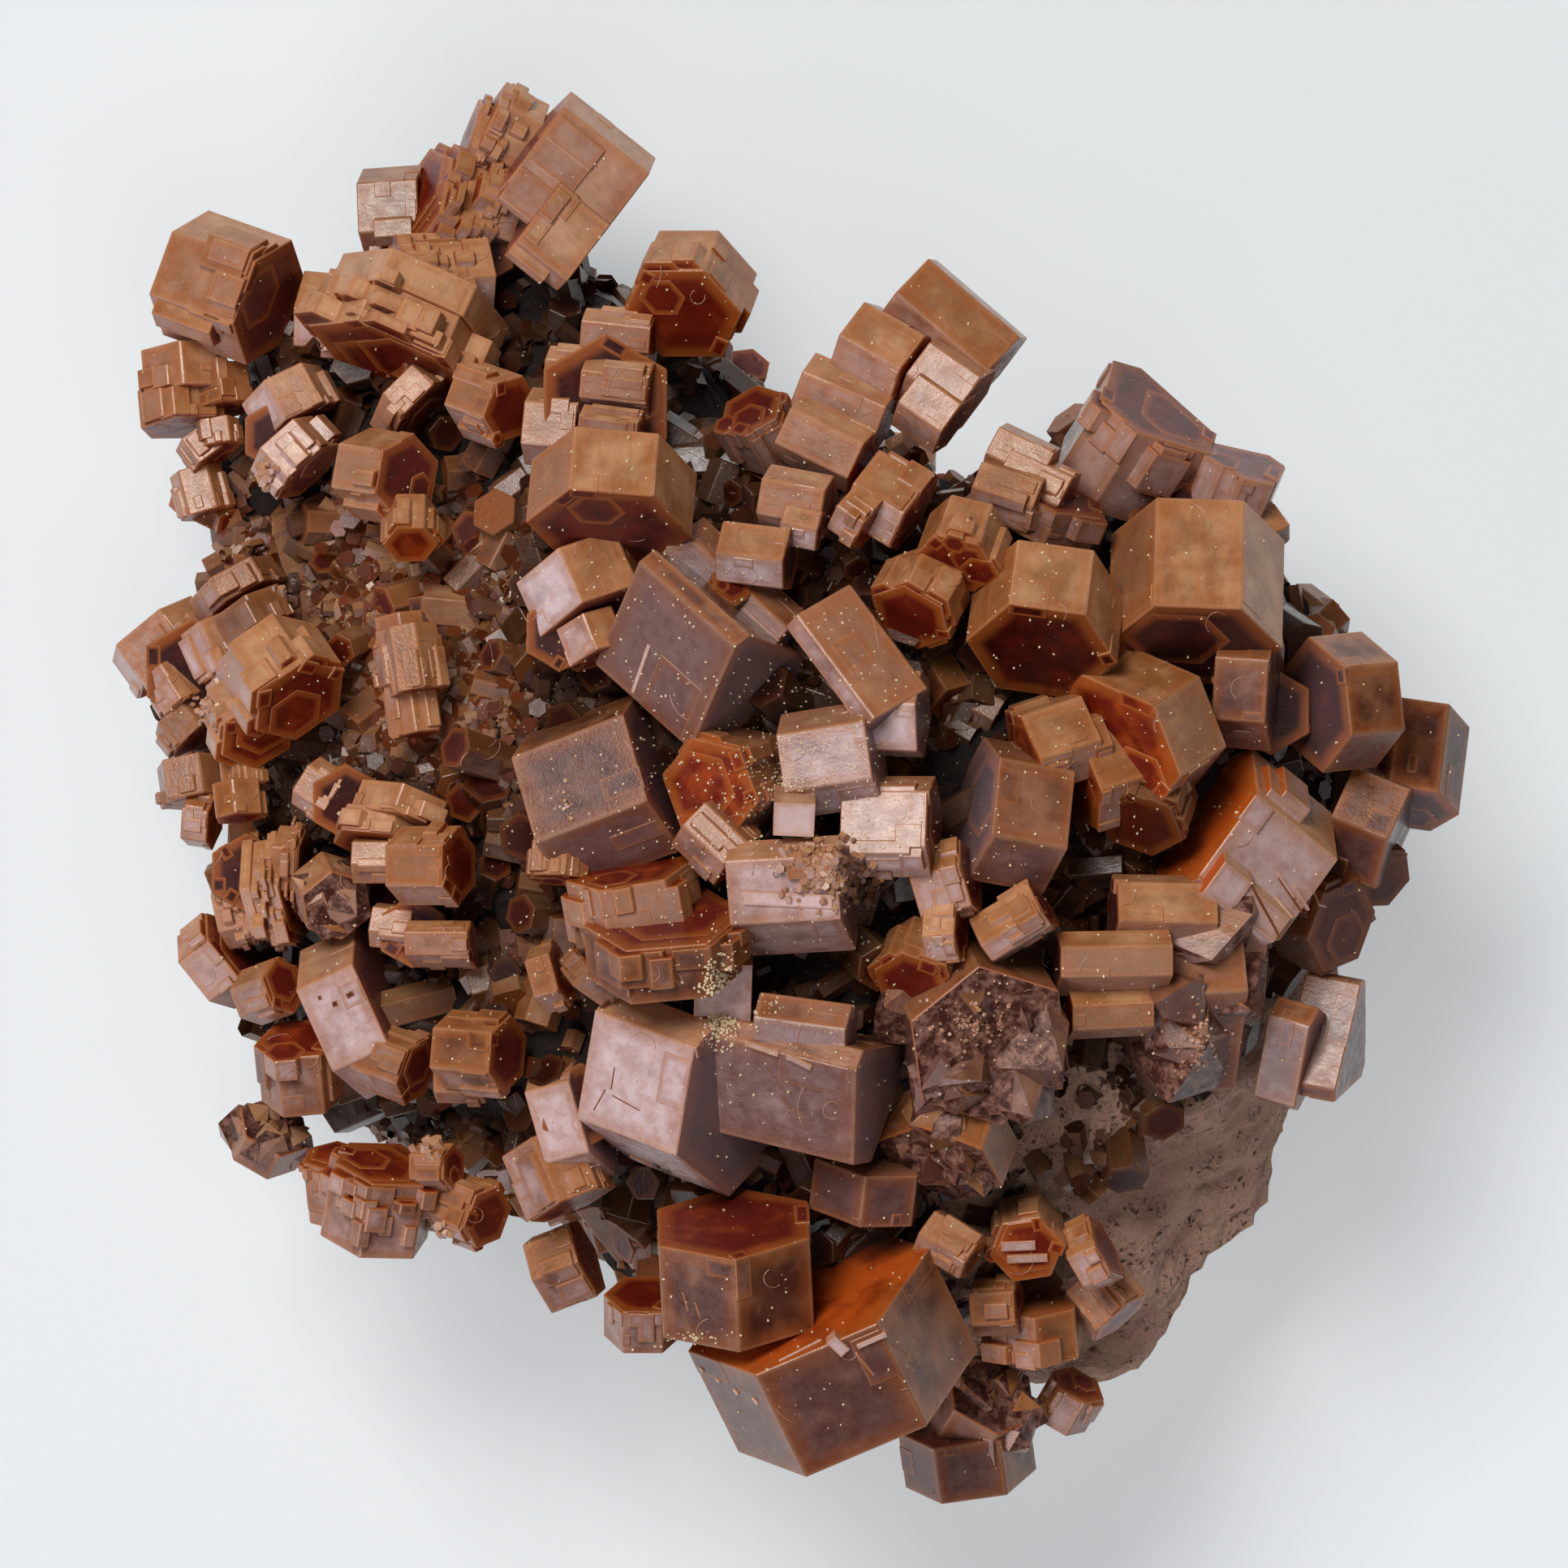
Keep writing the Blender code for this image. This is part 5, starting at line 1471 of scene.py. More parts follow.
@dataclass(frozen=True)
class CrystalFinish:
    """Look of the crystals: dull stepped prism faces under a pale bloom and painted sheen, and clear glossy
    ends.

    Attributes:
        dark: Darkest prism faces.
        tan: Ordinary prism faces.
        pale: Lightest prism faces.
        bloom_and_sheen: Pale colour on the light crystals: their own bloom, painted paler still as a sheen
            on faces that lean to the front left.
        shade: The same bloom and painted sheen on dark crystals.
        edge: Where light comes through a prism face's border.
        red: Darkest ends.
        rust: Ordinary ends.
        orange: Clearest ends.
        painted_shade: Painted shade on crystals deep between the others.
        bevel: Painted highlight along the bevels of the prism faces.
        end_edge_highlight: Painted highlight along the bevels of the ends.
        broken_dark: Darker patches of a broken face.
        broken_light: Its lighter patches.
        speck: Fine pale specks on every face.
        dust: Loose dust.
        front: The way that faces lean which are given the painted sheen.
        refraction: How strongly the crystals bend light.
        prism_gloss: Strength of the reflections on prism faces.
        end_gloss: Their strength on ends.
    """

    dark: tuple = (0.060, 0.0110, 0.0050)
    tan: tuple = (0.300, 0.112, 0.034)
    pale: tuple = (0.560, 0.290, 0.138)
    bloom_and_sheen: tuple = (0.670, 0.510, 0.540)
    shade: tuple = (0.250, 0.138, 0.128)
    edge: tuple = (0.430, 0.110, 0.018)
    red: tuple = (0.034, 0.0020, 0.0010)
    rust: tuple = (0.135, 0.0110, 0.0040)
    orange: tuple = (0.500, 0.085, 0.010)
    painted_shade: tuple = (0.012, 0.005, 0.003)
    bevel: tuple = (0.56, 0.30, 0.15)
    end_edge_highlight: tuple = (0.50, 0.17, 0.045)
    broken_dark: tuple = (0.060, 0.018, 0.013)
    broken_light: tuple = (0.30, 0.15, 0.11)
    speck: tuple = (0.75, 0.62, 0.48)
    dust: tuple = (0.80, 0.66, 0.44)
    front: tuple = (-0.35, -0.94, 0.0)
    refraction: float = 1.62
    prism_gloss: float = 0.42
    end_gloss: float = 0.16

    def material(self) -> bpy.types.Material:
        """Make the material.

        Returns:
            The material.
        """
        made = bpy.data.materials.new("vanadinite")
        n = Nodes(made)
        place = n.attribute("place", "Vector")
        where = n.put("ShaderNodeTexCoord").outputs["Object"]
        world = n.put("ShaderNodeVectorMath", {0: where, "Scale": 1.0 / MM}, operation="SCALE").outputs[0]
        kind, rim, heart = n.attribute("kind"), n.attribute("rim"), n.attribute("heart")
        tone = n.put("ShaderNodeSeparateColor", {0: n.attribute("tone", "Color")})
        light, mauve, front_sheen = tone.outputs
        glow = n.attribute("tone", "Alpha")
        facing = n.attribute("facing", "Vector")
        lean = n.put("ShaderNodeVectorMath", {0: facing, 1: self.front}, operation="DOT_PRODUCT")
        lean = lean.outputs["Value"]
        striped = n.put("ShaderNodeVectorMath", {0: place, 1: (1.6, 1.6, 0.5)}, operation="MULTIPLY")
        streak = n.noise(striped.outputs[0], 1.6, 4.0, 0.6)
        patch = n.noise(place, 0.55, 3.0, 0.55)
        fine = n.noise(world, 6.0, 4.0, 0.65)
        mottle = n.noise(world, 1.3, 6.0, 0.7)
        # Painted light: faces that lean back, toward the key lamp, are painted paler.
        painted_back_light = n.range(lean, 0.0, -0.35, 0.0, 0.25)
        level = n.math("ADD", n.math("ADD", light, painted_back_light), n.range(patch, 0.25, 0.75, -0.16, 0.16))
        prism = n.mix(n.range(level, 0.0, 0.5), self.dark, self.tan)
        prism = n.mix(n.range(level, 0.5, 1.0), prism, self.pale)
        prism = n.mix(n.range(heart, 0.0, 0.4, 0.34, 0.0), prism, self.edge)
        prism = n.mix(n.range(streak, 0.45, 0.75, 0.0, 0.22), prism, self.dark)
        # Painted sheen: faces that lean to the front left, toward the lower-left lamp, are painted paler,
        # and the mauve bloom is painted stronger there.
        front = n.math("MULTIPLY", n.range(lean, 0.08, 0.36), front_sheen)
        cover = n.math("MAXIMUM", front, n.math("MULTIPLY", mauve, n.range(lean, -0.4, 0.2, 0.15, 1.0)))
        cover = n.math("MULTIPLY", cover, n.range(mottle, 0.3, 0.7, 0.72, 1.28))
        cover = n.math("MULTIPLY", cover, n.range(heart, 0.0, 0.3, 0.6, 1.0))
        prism = n.mix(cover, prism, n.mix(n.range(level, 0.1, 0.55), self.shade, self.bloom_and_sheen))
        # Painted highlight along the edges of the prism faces.
        prism = n.mix(n.math("MULTIPLY", rim, 0.22), prism, self.bevel)
        clear = n.math("ADD", glow, n.range(patch, 0.25, 0.75, -0.2, 0.2))
        end = n.mix(n.range(clear, 0.0, 0.5), self.red, self.rust)
        end = n.mix(n.range(clear, 0.5, 1.0), end, self.orange)
        end = n.mix(n.range(heart, 0.0, 0.24, 0.5, 0.0), end, self.edge)
        end = n.mix(n.math("MULTIPLY", mauve, n.range(glow, 0.3, 0.6, 0.45, 0.0)), end, self.bloom_and_sheen)
        # Painted highlight along the edges of the ends.
        end = n.mix(n.math("MULTIPLY", n.math("MULTIPLY", rim, rim), 0.4), end, self.end_edge_highlight)
        uneven = n.range(n.noise(world, 1.6, 5.0, 0.7), 0.4, 0.68)
        broken = n.mix(uneven, self.broken_dark, self.broken_light)
        is_end = n.math("MULTIPLY", kind, 1.0, clamp=True)
        colour = n.mix(is_end, prism, end)
        is_broken = n.math("SUBTRACT", kind, 1.0, clamp=True)
        colour = n.mix(is_broken, colour, broken)
        is_dust = n.math("SUBTRACT", kind, 2.0, clamp=True)
        colour = n.mix(is_dust, colour, self.dust)
        # Painted shade: crystals deep between the others are darkened toward near black.
        colour = n.mix(n.math("MULTIPLY", n.attribute("painted_shade_share"), 0.85), colour, self.painted_shade)
        cells = n.put("ShaderNodeTexVoronoi", {"Vector": world, "Scale": 1.5}).outputs["Distance"]
        sparse = n.range(n.noise(world, 0.5, 2.0), 0.44, 0.52)
        speck = n.math("MULTIPLY", n.range(cells, 0.045, 0.075, 1.0, 0.0), sparse)
        colour = n.mix(n.math("MULTIPLY", speck, 0.8), colour, self.speck)
        dull = n.range(mottle, 0.3, 0.7, 0.2, 0.4)
        gloss = n.range(is_end, 0.0, 1.0, self.prism_gloss, self.end_gloss)
        bump = n.put("ShaderNodeBump", {"Height": streak, "Distance": 0.00004, "Strength": 0.25})
        inputs = {"Height": fine, "Distance": 0.00003, "Strength": 0.5, "Normal": bump.outputs[0]}
        grain = n.put("ShaderNodeBump", inputs)
        inputs = {"Base Color": colour, "Roughness": dull, "Normal": grain.outputs[0]}
        inputs |= {"IOR": self.refraction, "Specular IOR Level": gloss}
        shader = n.put("ShaderNodeBsdfPrincipled", inputs)
        n.tree.links.new(shader.outputs[0], n.output.inputs[0])
        return made


@dataclass(frozen=True)
class RockFinish:
    """Look of the bare rock.

    Attributes:
        tan: Its main colour.
        pink: Its pinker patches.
        pore: The dark of its pores.
        painted_shade: Painted shade: the near black of the rock between the crystals.
        stain: The dark of its finest grain.
        roughness: How matt it is.
    """

    tan: tuple = (0.90, 0.56, 0.40)
    pink: tuple = (0.92, 0.54, 0.42)
    pore: tuple = (0.16, 0.08, 0.05)
    painted_shade: tuple = (0.020, 0.009, 0.005)
    stain: tuple = (0.22, 0.11, 0.07)
    roughness: float = 0.9

    def material(self) -> bpy.types.Material:
        """Make the material.

        Returns:
            The material.
        """
        made = bpy.data.materials.new("matrix_rock")
        n = Nodes(made)
        where = n.put("ShaderNodeTexCoord").outputs["Object"]
        world = n.put("ShaderNodeVectorMath", {0: where, "Scale": 1.0 / MM}, operation="SCALE").outputs[0]
        colour = n.mix(n.range(n.noise(world, 0.35, 4.0), 0.35, 0.65), self.tan, self.pink)
        bent = n.put("ShaderNodeTexNoise", {"Vector": world, "Scale": 1.2}).outputs["Color"]
        bent = n.put("ShaderNodeVectorMath", {0: bent, "Scale": 1.4}, operation="SCALE").outputs[0]
        bent = n.put("ShaderNodeVectorMath", {0: world, 1: bent}, operation="ADD").outputs[0]
        pores = n.put("ShaderNodeTexVoronoi", {"Vector": bent, "Scale": 1.9}).outputs["Distance"]
        small = n.put("ShaderNodeTexVoronoi", {"Vector": bent, "Scale": 4.5}).outputs["Distance"]
        deep = n.math("MAXIMUM", n.range(pores, 0.1, 0.34, 1.0, 0.0), n.range(small, 0.1, 0.3, 0.8, 0.0))
        deep = n.math("MULTIPLY", deep, n.range(n.noise(world, 0.7, 3.0), 0.38, 0.58))
        colour = n.mix(deep, colour, self.pore)
        fine = n.noise(world, 4.0, 6.0, 0.7)
        colour = n.mix(n.range(fine, 0.35, 0.7, 0.0, 0.25), colour, self.stain)
        height = n.math("SUBTRACT", fine, deep)
        # Painted shade: away from the bare patch the rock is painted near black.
        way = (*BARE_ROCK_DIRECTION, 0.0)
        bare = n.put("ShaderNodeVectorMath", {0: world, 1: way}, operation="DOT_PRODUCT").outputs["Value"]
        start, full = (BARE_ROCK_DISTANCE - reach for reach in BARE_ROCK_FADE)
        bare = n.range(bare, start, full)
        colour = n.mix(bare, self.painted_shade, colour)
        bump = n.put("ShaderNodeBump", {"Height": height, "Distance": 0.0005, "Strength": 1.0})
        inputs = {"Base Color": colour, "Roughness": self.roughness, "Normal": bump.outputs[0]}
        shader = n.put("ShaderNodeBsdfPrincipled", inputs)
        n.tree.links.new(shader.outputs[0], n.output.inputs[0])
        return made


@dataclass
class Rock:
    """The rock with the crystals that grow straight out of it.

    Attributes:
        crystals: The listed small crystals.
        coarse: The seeded crust of larger ones.
        fine: The seeded crusts of finer ones.
    """

    crystals: list
    coarse: Druse
    fine: list[Druse]

    def build(self, rock: bpy.types.Material, crystal: bpy.types.Material) -> None:
        """Make the rock and its crust.

        Args:
            rock: The rock material.
            crystal: The crystal material.
        """
        shelter = Shelter(crystal_faces())
        around, along = ROCK_AROUND, ROCK_ALONG
        points, faces = [], []
        for r in range(along + 1):
            polar = math.pi * r / along
            out, up = math.sin(polar), math.cos(polar)
            for k in range(around):
                turn = 2.0 * math.pi * k / around
                unit = Vector((out * math.cos(turn), out * math.sin(turn), up))
                point = rock_point(unit)
                rough = GRAIN_SWELL * noise.fractal(point / GRAIN_SIZE, 0.8, 2.0, 4)
                rough -= PIT_DEPTH * max(0.0, PIT_REACH - noise.voronoi(point / PIT_SIZE)[0][0])
                point += unit * rough
                point.z = max(point.z, 0.0)
                points.append(tuple(point * MM))
        for r in range(along):
            for k in range(around):
                n = (k + 1) % around
                faces.append([r * around + k, (r + 1) * around + k, (r + 1) * around + n, r * around + n])
        mesh = bpy.data.meshes.new("matrix_rock")
        mesh.from_pydata(points, [], faces)
        mesh.update()
        body = bpy.data.objects.new("matrix_rock_look", mesh)
        bpy.context.scene.collection.objects.link(body)
        body.data.materials.append(rock)
        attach(body, "root")
        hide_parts("matrix_rock")
        log.info("rock: %d faces", len(faces))
        pen = Pen()
        grower = CrystalGrower(pen, random.Random(SMALL_SEED))
        for number, small in enumerate(self.crystals):
            pose = small.pose()
            # Painted shade from how shut in each small crystal is, at a share of full strength.
            pen.deep = shelter.at(pose.matrix.translation) * ROOTED_SHADE
            grower.grow(pose, *SPECIAL.get(("rooted", number), (STEPPED, Tone(0.4, 0.05, 0.4, 0.5))))
        self.coarse.sow(grower, shelter)
        cover_piece("small_crystals", pen, crystal)
        pen = Pen()
        grower = CrystalGrower(pen, random.Random(CRUST_SEED))
        for crust in self.fine:
            crust.sow(grower, shelter)
        cover_piece("fine_crust", pen, crystal)


def cover_piece(name: str, pen: Pen, material: bpy.types.Material) -> bpy.types.Object:
    """Make a piece that covers the rock.

    Args:
        name: The piece's name.
        pen: Its faces.
        material: Its material.

    Returns:
        The piece.
    """
    cover = bpy.data.objects.new(name, pen.mesh(name))
    bpy.context.scene.collection.objects.link(cover)
    cover.data.materials.append(material)
    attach(cover, "root")
    log.info("%s: %d faces", name, len(pen.faces))
    return cover


@dataclass(frozen=True)
class Plate:
    """A small plate or crack lying on whatever crystal face is under it.

    Attributes:
        start: Plan position of one end of its middle line.
        end: Plan position of the other end.
        wide: Its width.
        high: How far it stands out.
        tone: Its colouring.
        lift: Height of a block's top above the dome, or None for a plate that lies on what is under it.
    """

    start: tuple[float, float]
    end: tuple[float, float]
    wide: float
    high: float
    tone: Tone
    lift: float | None = None


@dataclass(frozen=True)
class Grains:
    """A patch of loose grains or tiny crystals.

    Attributes:
        centre: Plan position of its middle.
        radii: Half its width and half its depth.
        count: How many grains.
        sizes: Least and greatest width.
        tone: Their colouring.
        kind: Dust, or the kind of face that tiny crystals show.
    """

    centre: tuple[float, float]
    radii: tuple[float, float]
    count: int
    sizes: tuple[float, float]
    tone: Tone
    kind: Part = Part.PRISM


@dataclass
class FineDetail:
    """Small plates, cracks and grains laid on the crystals.

    Attributes:
        plates: The plates and cracks.
        grains: The patches of grains.
        fibres: How many fine fibres of lint are tried.
    """

    plates: tuple[Plate, ...]
    grains: tuple[Grains, ...]
    fibres: int

    def build(self, material: bpy.types.Material) -> None:
        """Lay them on the surface and make them one piece.

        Args:
            material: The crystal material.
        """
        surface = crystal_faces()
        pen = Pen()
        chance = random.Random(DETAIL_SEED)
        for plate in self.plates:
            start, end = Vector(plate.start), Vector(plate.end)
            spot = (start + end) / 2.0
            found, normal = self.drop(surface, spot)
            low = -0.5
            if plate.lift is not None:
                found, normal = Vector((*spot, dome_height(*spot) + plate.lift)), BLOCK_UP
                low = -BLOCK_DEPTH
            if found is None:
                continue
            along = (end - start).to_3d()
            along = (along - normal * along.dot(normal)).normalized()
            turn = Matrix((along, normal.cross(along), normal)).transposed().to_4x4()
            half, wide = (end - start).length / 2.0, plate.wide / 2.0
            outline = ((-half, -wide), (half, -wide), (half, wide), (-half, wide))
            place = Matrix.Translation(found) @ turn
            pen.column(outline, low, plate.high, place, plate.tone, 0.02, 0.05, end_kind=Part.PRISM)
        for patch in self.grains:
            for _ in range(patch.count):
                spread = min(1.0, abs(chance.gauss(0.0, 0.5)))
                turn = chance.uniform(0.0, math.tau)
                spot = Vector(patch.centre)
                spot.x += patch.radii[0] * spread * math.cos(turn)
                spot.y += patch.radii[1] * spread * math.sin(turn)
                found, normal = self.drop(surface, spot)
                if found is None:
                    continue
                size = chance.uniform(*patch.sizes)
                lean = Vector([chance.gauss(0.0, 1.0) for _ in range(3)])
                axis = (normal + lean * 0.5).normalized()
                matrix = basis(lean, axis, found + axis * size * 0.25)
                length = size * chance.uniform(0.7, 1.3)
                tone = patch.tone.varied(chance, 0.15)
                pen.stub(size, length, matrix, tone, found, patch.kind, patch.kind)
        for _ in range(self.fibres):
            self.fibre(pen, surface, chance)
        cover_piece("fine_detail", pen, material)

    def fibre(self, pen: Pen, surface: BVHTree, chance: random.Random) -> None:
        """Lay one curved fibre on the crystals.

        Args:
            pen: Where its faces go.
            surface: The crystal faces.
            chance: The seeded source of its place and bend.
        """
        turn, reach = chance.uniform(0.0, math.tau), FIBRE_REACH * math.sqrt(chance.random())
        spot = Vector((reach * math.cos(turn), reach * math.sin(turn)))
        heading, bend = chance.uniform(0.0, math.tau), chance.uniform(-FIBRE_BEND, FIBRE_BEND)
        points = []
        for _ in range(chance.randint(6, 14)):
            found, _ = self.drop(surface, spot)
            if found is None or (points and abs(found.z - points[-1].z) > FIBRE_DROP):
                break
            points.append(found + Vector((0.0, 0.0, FIBRE_WIDTH)))
            spot += Vector((math.cos(heading), math.sin(heading))) * FIBRE_STEP
            heading += bend
        if len(points) < FIBRE_LEAST:
            return
        sides = FIBRE_SIDES
        turns = [math.tau * k / sides for k in range(sides)]
        ring = [Vector((math.cos(a), math.sin(a), 0.0)) * FIBRE_WIDTH / 2.0 for a in turns]
        corners = [tuple(point + Vector((r.x, r.y, r.x))) for point in points for r in ring]
        faces = []
        for k in range(len(points) - 1):
            here, there = sides * k, sides * (k + 1)
            for j in range(sides):
                after = (j + 1) % sides
                faces.append([here + j, here + after, there + after, there + j])
        shades = [0.0] * len(corners)
        pen.add(corners, shades, shades, faces, [Part.PRISM.value] * len(faces), Matrix(), FIBRE_TONE)

    def drop(self, surface: BVHTree, spot: Vector) -> tuple[Vector | None, Vector | None]:
        """Find the surface under a place on the plan.

        Args:
            surface: The crystal faces.
            spot: The place.

        Returns:
            The point and the outward direction there, or None twice.
        """
        found, normal, _, _ = surface.ray_cast(Vector((spot.x, spot.y, 80.0)), Vector((0.0, 0.0, -1.0)))
        if found is None:
            return None, None
        return found, normal if normal.z > 0.0 else -normal


@dataclass(frozen=True)
class SoftBox:
    """A rectangular lamp aimed at the specimen.

    Attributes:
        name: What it is for.
        azimuth: Where it stands, in degrees from +X.
        height: Its angle above the floor, in degrees.
        distance: Metres from the specimen.
        size: Its sides in metres.
        power: Watts.
        colour: Its light.
    """

    name: str
    azimuth: float
    height: float
    distance: float
    size: tuple[float, float]
    power: float
    colour: tuple[float, float, float]

    def build(self) -> None:
        """Put up the lamp."""
        lamp = bpy.data.lights.new(self.name, "AREA")
        lamp.shape = "RECTANGLE"
        lamp.size, lamp.size_y = self.size
        lamp.energy = self.power
        lamp.color = self.colour
        holder = bpy.data.objects.new(self.name, lamp)
        azimuth, height = math.radians(self.azimuth), math.radians(self.height)
        out = math.cos(height)
        away = Vector((math.cos(azimuth) * out, math.sin(azimuth) * out, math.sin(height)))
        holder.location = away * self.distance + Vector((0.0, 0.0, LAMP_AIM))
        holder.rotation_euler = away.to_track_quat("Z", "Y").to_euler()
        bpy.context.scene.collection.objects.link(holder)


@dataclass(frozen=True)
class Studio:
    """Pale floor, soft lamps and the camera straight above.

    Attributes:
        lamps: The lamps.
        lens: Focal length in millimetres.
        frame_width: Width of the picture at the crystals' level, in millimetres.
        focus_level: That level, in millimetres.
        ambient: Strength of the light from all round.
        floor_colour: How much light the floor throws back.
        floor_glow: Light of its own, which keeps the shadows pale.
        floor_reach: Half the floor's width in metres.
        sky: Colour of the light from all round.
        sensor: Width of the camera's sensor in millimetres.
        clip: Nearest and farthest distance that the camera shows, in metres.
    """

    lamps: tuple[SoftBox, ...]
    lens: float = 500.0
    frame_width: float = 77.28
    focus_level: float = 24.0
    ambient: float = 0.022
    floor_colour: tuple[float, float, float] = (0.470, 0.493, 0.507)
    floor_glow: tuple[float, float, float] = (0.370, 0.390, 0.400)
    floor_reach: float = 3.0
    sky: tuple[float, float, float] = (1.0, 0.97, 0.94)
    sensor: float = 36.0
    clip: tuple[float, float] = (0.05, 20.0)

    def build(self) -> None:
        """Set up the floor, the lamps, the surroundings and the camera."""
        mesh = bpy.data.meshes.new("floor")
        reach = self.floor_reach
        corners = [(-reach, -reach, 0), (reach, -reach, 0), (reach, reach, 0), (-reach, reach, 0)]
        mesh.from_pydata(corners, [], [[0, 1, 2, 3]])
        floor = bpy.data.objects.new("floor", mesh)
        bpy.context.scene.collection.objects.link(floor)
        paint = bpy.data.materials.new("floor")
        n = Nodes(paint)
        lit = n.put("ShaderNodeBsdfDiffuse", {"Color": (*self.floor_colour, 1.0)})
        own = n.put("ShaderNodeEmission", {"Color": (*self.floor_glow, 1.0), "Strength": 1.0})
        both = n.put("ShaderNodeAddShader", {0: lit.outputs[0], 1: own.outputs[0]})
        n.tree.links.new(both.outputs[0], n.output.inputs[0])
        floor.data.materials.append(paint)
        for lamp in self.lamps:
            lamp.build()
        world = bpy.data.worlds.new("surroundings")
        bpy.context.scene.world = world
        world.use_nodes = True
        background = world.node_tree.nodes["Background"]
        background.inputs["Color"].default_value = (*self.sky, 1.0)
        background.inputs["Strength"].default_value = self.ambient
        lens = bpy.data.cameras.new("above")
        lens.lens = self.lens
        lens.sensor_width = self.sensor
        lens.clip_start, lens.clip_end = self.clip
        above = bpy.data.objects.new("above", lens)
        above.location = (0.0, 0.0, (self.frame_width / self.sensor * self.lens + self.focus_level) * MM)
        bpy.context.scene.collection.objects.link(above)
        bpy.context.scene.camera = above
        bpy.context.scene.view_settings.view_transform = "Standard"


